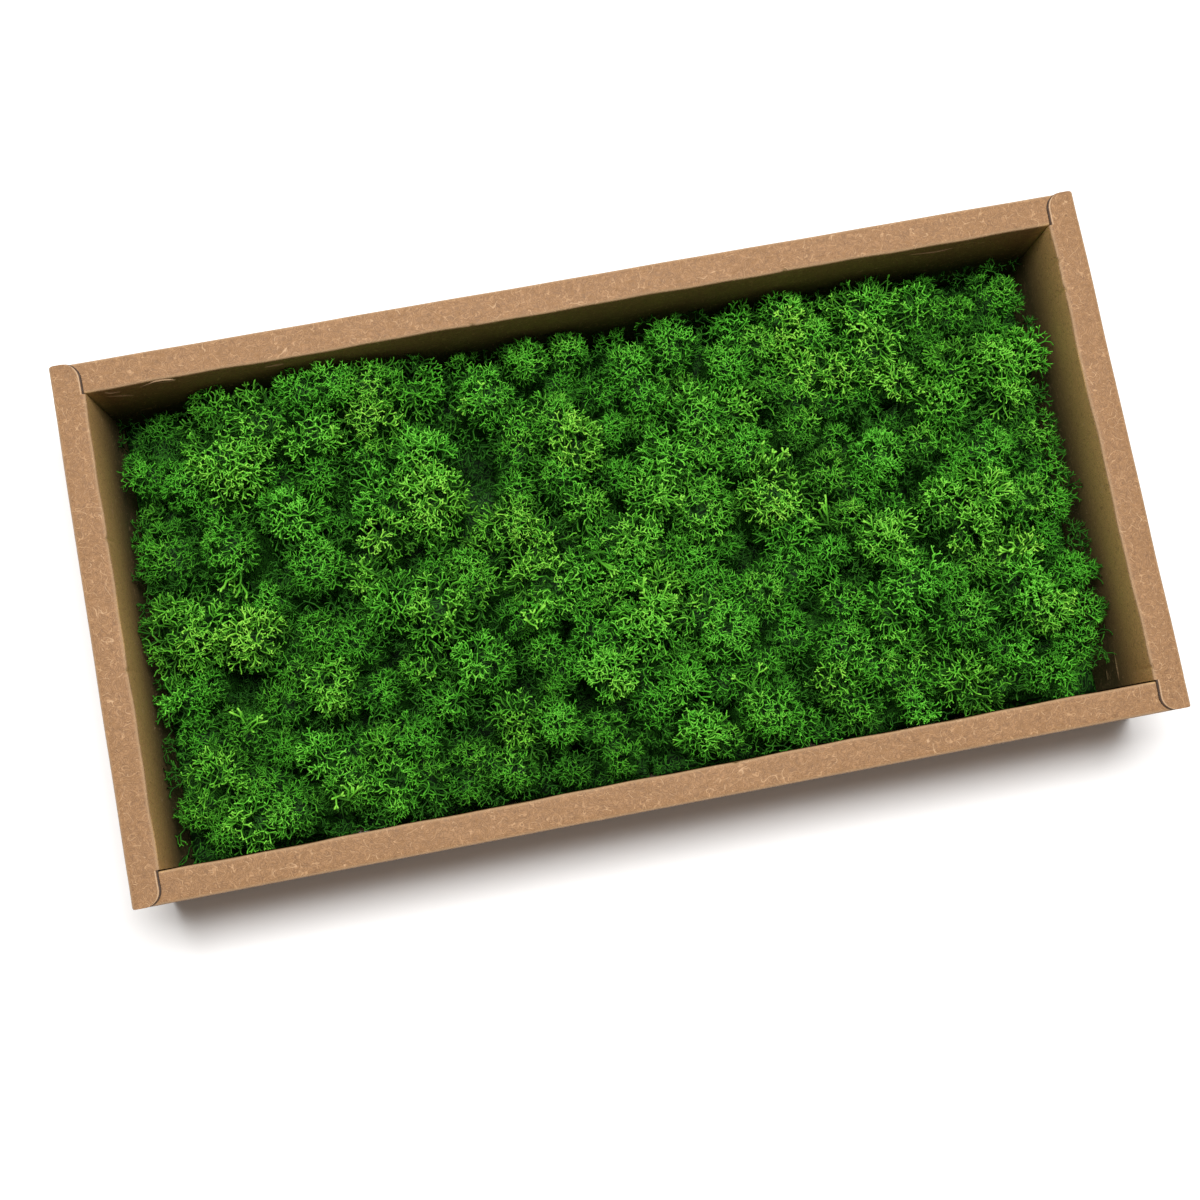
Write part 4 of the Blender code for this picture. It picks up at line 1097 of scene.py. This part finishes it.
def kraft_material(lines_group):
    """Brown board: a mottled base, winding fibres, pale and dark, specks, pale worn folds and edges that are
    also painted highlights, and dark cut edges that are also painted shadow lines.

    The attribute's red is the wear, pale on worn lines and painted highlights, below zero on dark
    cut edges and painted shadow lines. Its green is the painted light on a short inner wall, and its blue the
    painted shade in the tray. The bump's height is the grain + LINE_HEIGHT x the winding lines.
    """
    material, tree, shader = new_material("kraft_board", KRAFT_SURFACE)
    wear, painted_wall_light, deep = attribute_parts(tree, "wear")
    place = object_place(tree)
    colour = ramp_node(tree, noise_node(tree, place, **MOTTLE_NOISE), KRAFT_MOTTLE)
    # Painted light on the short inner walls, then painted shade deep in the tray.
    colour = tint(tree, colour, painted_wall_light, *PAINTED_WALL_LIGHT_TINT)
    colour = tint(tree, colour, deep, *PAINTED_DEEP_SHADE_TINT)
    lines = winding_lines(tree, lines_group, place, KRAFT_LINES)
    colour = tint(tree, colour, lines, *LIGHT_LINE, "MULTIPLY")
    colour = tint(tree, colour, lines, *DARK_LINE, "MULTIPLY")
    grain = noise_node(tree, place, **GRAIN_NOISE)
    colour = tint(tree, colour, ramp_node(tree, grain, SPECKS), *SPECK_TINT)
    for mask, fibre, strength in (PALE_FIBRES, DARK_FIBRES, LONG_FIBRES):
        colour = tint(tree, colour, fibre_mask(tree, place, *mask), fibre, strength)
    # Pale worn lines, also painted highlights and painted reflections, then dark cut edges and painted shadow
    # lines.
    colour = tint(tree, colour, wear, *WORN_AND_HIGHLIGHT_TINT)
    colour = tint(tree, colour, wear, *CUT_EDGE_AND_SHADOW_TINT)
    height = math_node(tree, "MULTIPLY_ADD", lines, LINE_HEIGHT, grain)
    bump = add_node(tree, "ShaderNodeBump", {"Strength": BUMP_STRENGTH, "Distance": BUMP_HEIGHT * MM,
                                             "Height": height})
    tree.links.new(colour, shader.inputs["Base Color"])
    tree.links.new(bump.outputs["Normal"], shader.inputs["Normal"])
    return material


# Studio

FLOOR_RADIUS = 1050.0
FLOOR_SIDES = 96
FLOOR_SURFACE = {"Base Color": (0.9, 0.9, 0.9, 1), "Roughness": 0.9}
# The camera's place, turn in degrees and lens are worked out from the tray's corners in the photograph.
CAMERA_PLACE = (-35.57, -69.03, 506.54)
CAMERA_TURN = (7.0378, -2.0602, -10.7737)
CAMERA_LENS = 49.18
SENSOR_WIDTH = 36.0
KEY_PLACE = (57.0, 300.0, 1400.0)
KEY_SIZE = (900.0, 450.0)
KEY_POWER = 30.0
SOFT_LIGHT = (1.0, 0.88, 0.78, 1)
SOFT_STRENGTH = 0.2
BACKDROP = (0.84, 0.83, 0.81, 1)


def make_floor():
    """A plain pale floor: one flat round face, its rim at radius x (cos, sin)."""
    turns = np.arange(FLOOR_SIDES) * math.tau / FLOOR_SIDES
    rim = FLOOR_RADIUS * np.stack([np.cos(turns), np.sin(turns), np.zeros(FLOOR_SIDES)], -1)
    material = new_material("floor_white", FLOOR_SURFACE)[0]
    floor = mesh_object("floor", rim, [list(range(FLOOR_SIDES))], [False], material)


def make_camera():
    """The photograph's view: nearly straight down, turned and tilted a little."""
    camera = bpy.data.cameras.new("camera")
    camera.sensor_width = SENSOR_WIDTH
    camera.sensor_fit = "HORIZONTAL"
    camera.lens = CAMERA_LENS
    stand = bpy.data.objects.new("camera", camera)
    stand.location = Vector(CAMERA_PLACE) * MM
    stand.rotation_euler = Euler([math.radians(angle) for angle in CAMERA_TURN], "XYZ")
    bpy.context.scene.collection.objects.link(stand)
    bpy.context.scene.camera = stand


def make_key_light():
    """A wide soft light high over the far side, aimed at the origin."""
    light = bpy.data.lights.new("key", "AREA")
    light.shape = "RECTANGLE"
    light.size, light.size_y = (side * MM for side in KEY_SIZE)
    light.energy = KEY_POWER
    stand = bpy.data.objects.new("key", light)
    stand.location = Vector(KEY_PLACE) * MM
    stand.rotation_euler = (-Vector(KEY_PLACE)).to_track_quat("-Z", "Y").to_euler()
    bpy.context.scene.collection.objects.link(stand)


def make_world():
    """Weak warm light from all round, and a pale backdrop where the camera looks past the floor."""
    world = bpy.data.worlds.new("studio")
    world.use_nodes = True
    tree = world.node_tree
    soft = tree.nodes["Background"]
    soft.inputs["Color"].default_value = SOFT_LIGHT
    soft.inputs["Strength"].default_value = SOFT_STRENGTH
    backdrop = add_node(tree, "ShaderNodeBackground", {"Color": BACKDROP})
    seen = add_node(tree, "ShaderNodeLightPath", {})
    inputs = {"Fac": seen.outputs["Is Camera Ray"], 1: soft.outputs["Background"],
              2: backdrop.outputs["Background"]}
    mix = add_node(tree, "ShaderNodeMixShader", inputs)
    tree.links.new(mix.outputs["Shader"], tree.nodes["World Output"].inputs["Surface"])
    bpy.context.scene.world = world
    bpy.context.scene.view_settings.view_transform = "Standard"


winding_group = make_winding_group()
moss_green = moss_material(winding_group)
kraft = kraft_material(winding_group)
all_tufts = plant_tufts()
for cushion in range(len(CUSHIONS)):
    make_cushion(cushion, all_tufts, moss_green)
make_tray(kraft)
make_floor()
make_camera()
make_key_light()
make_world()
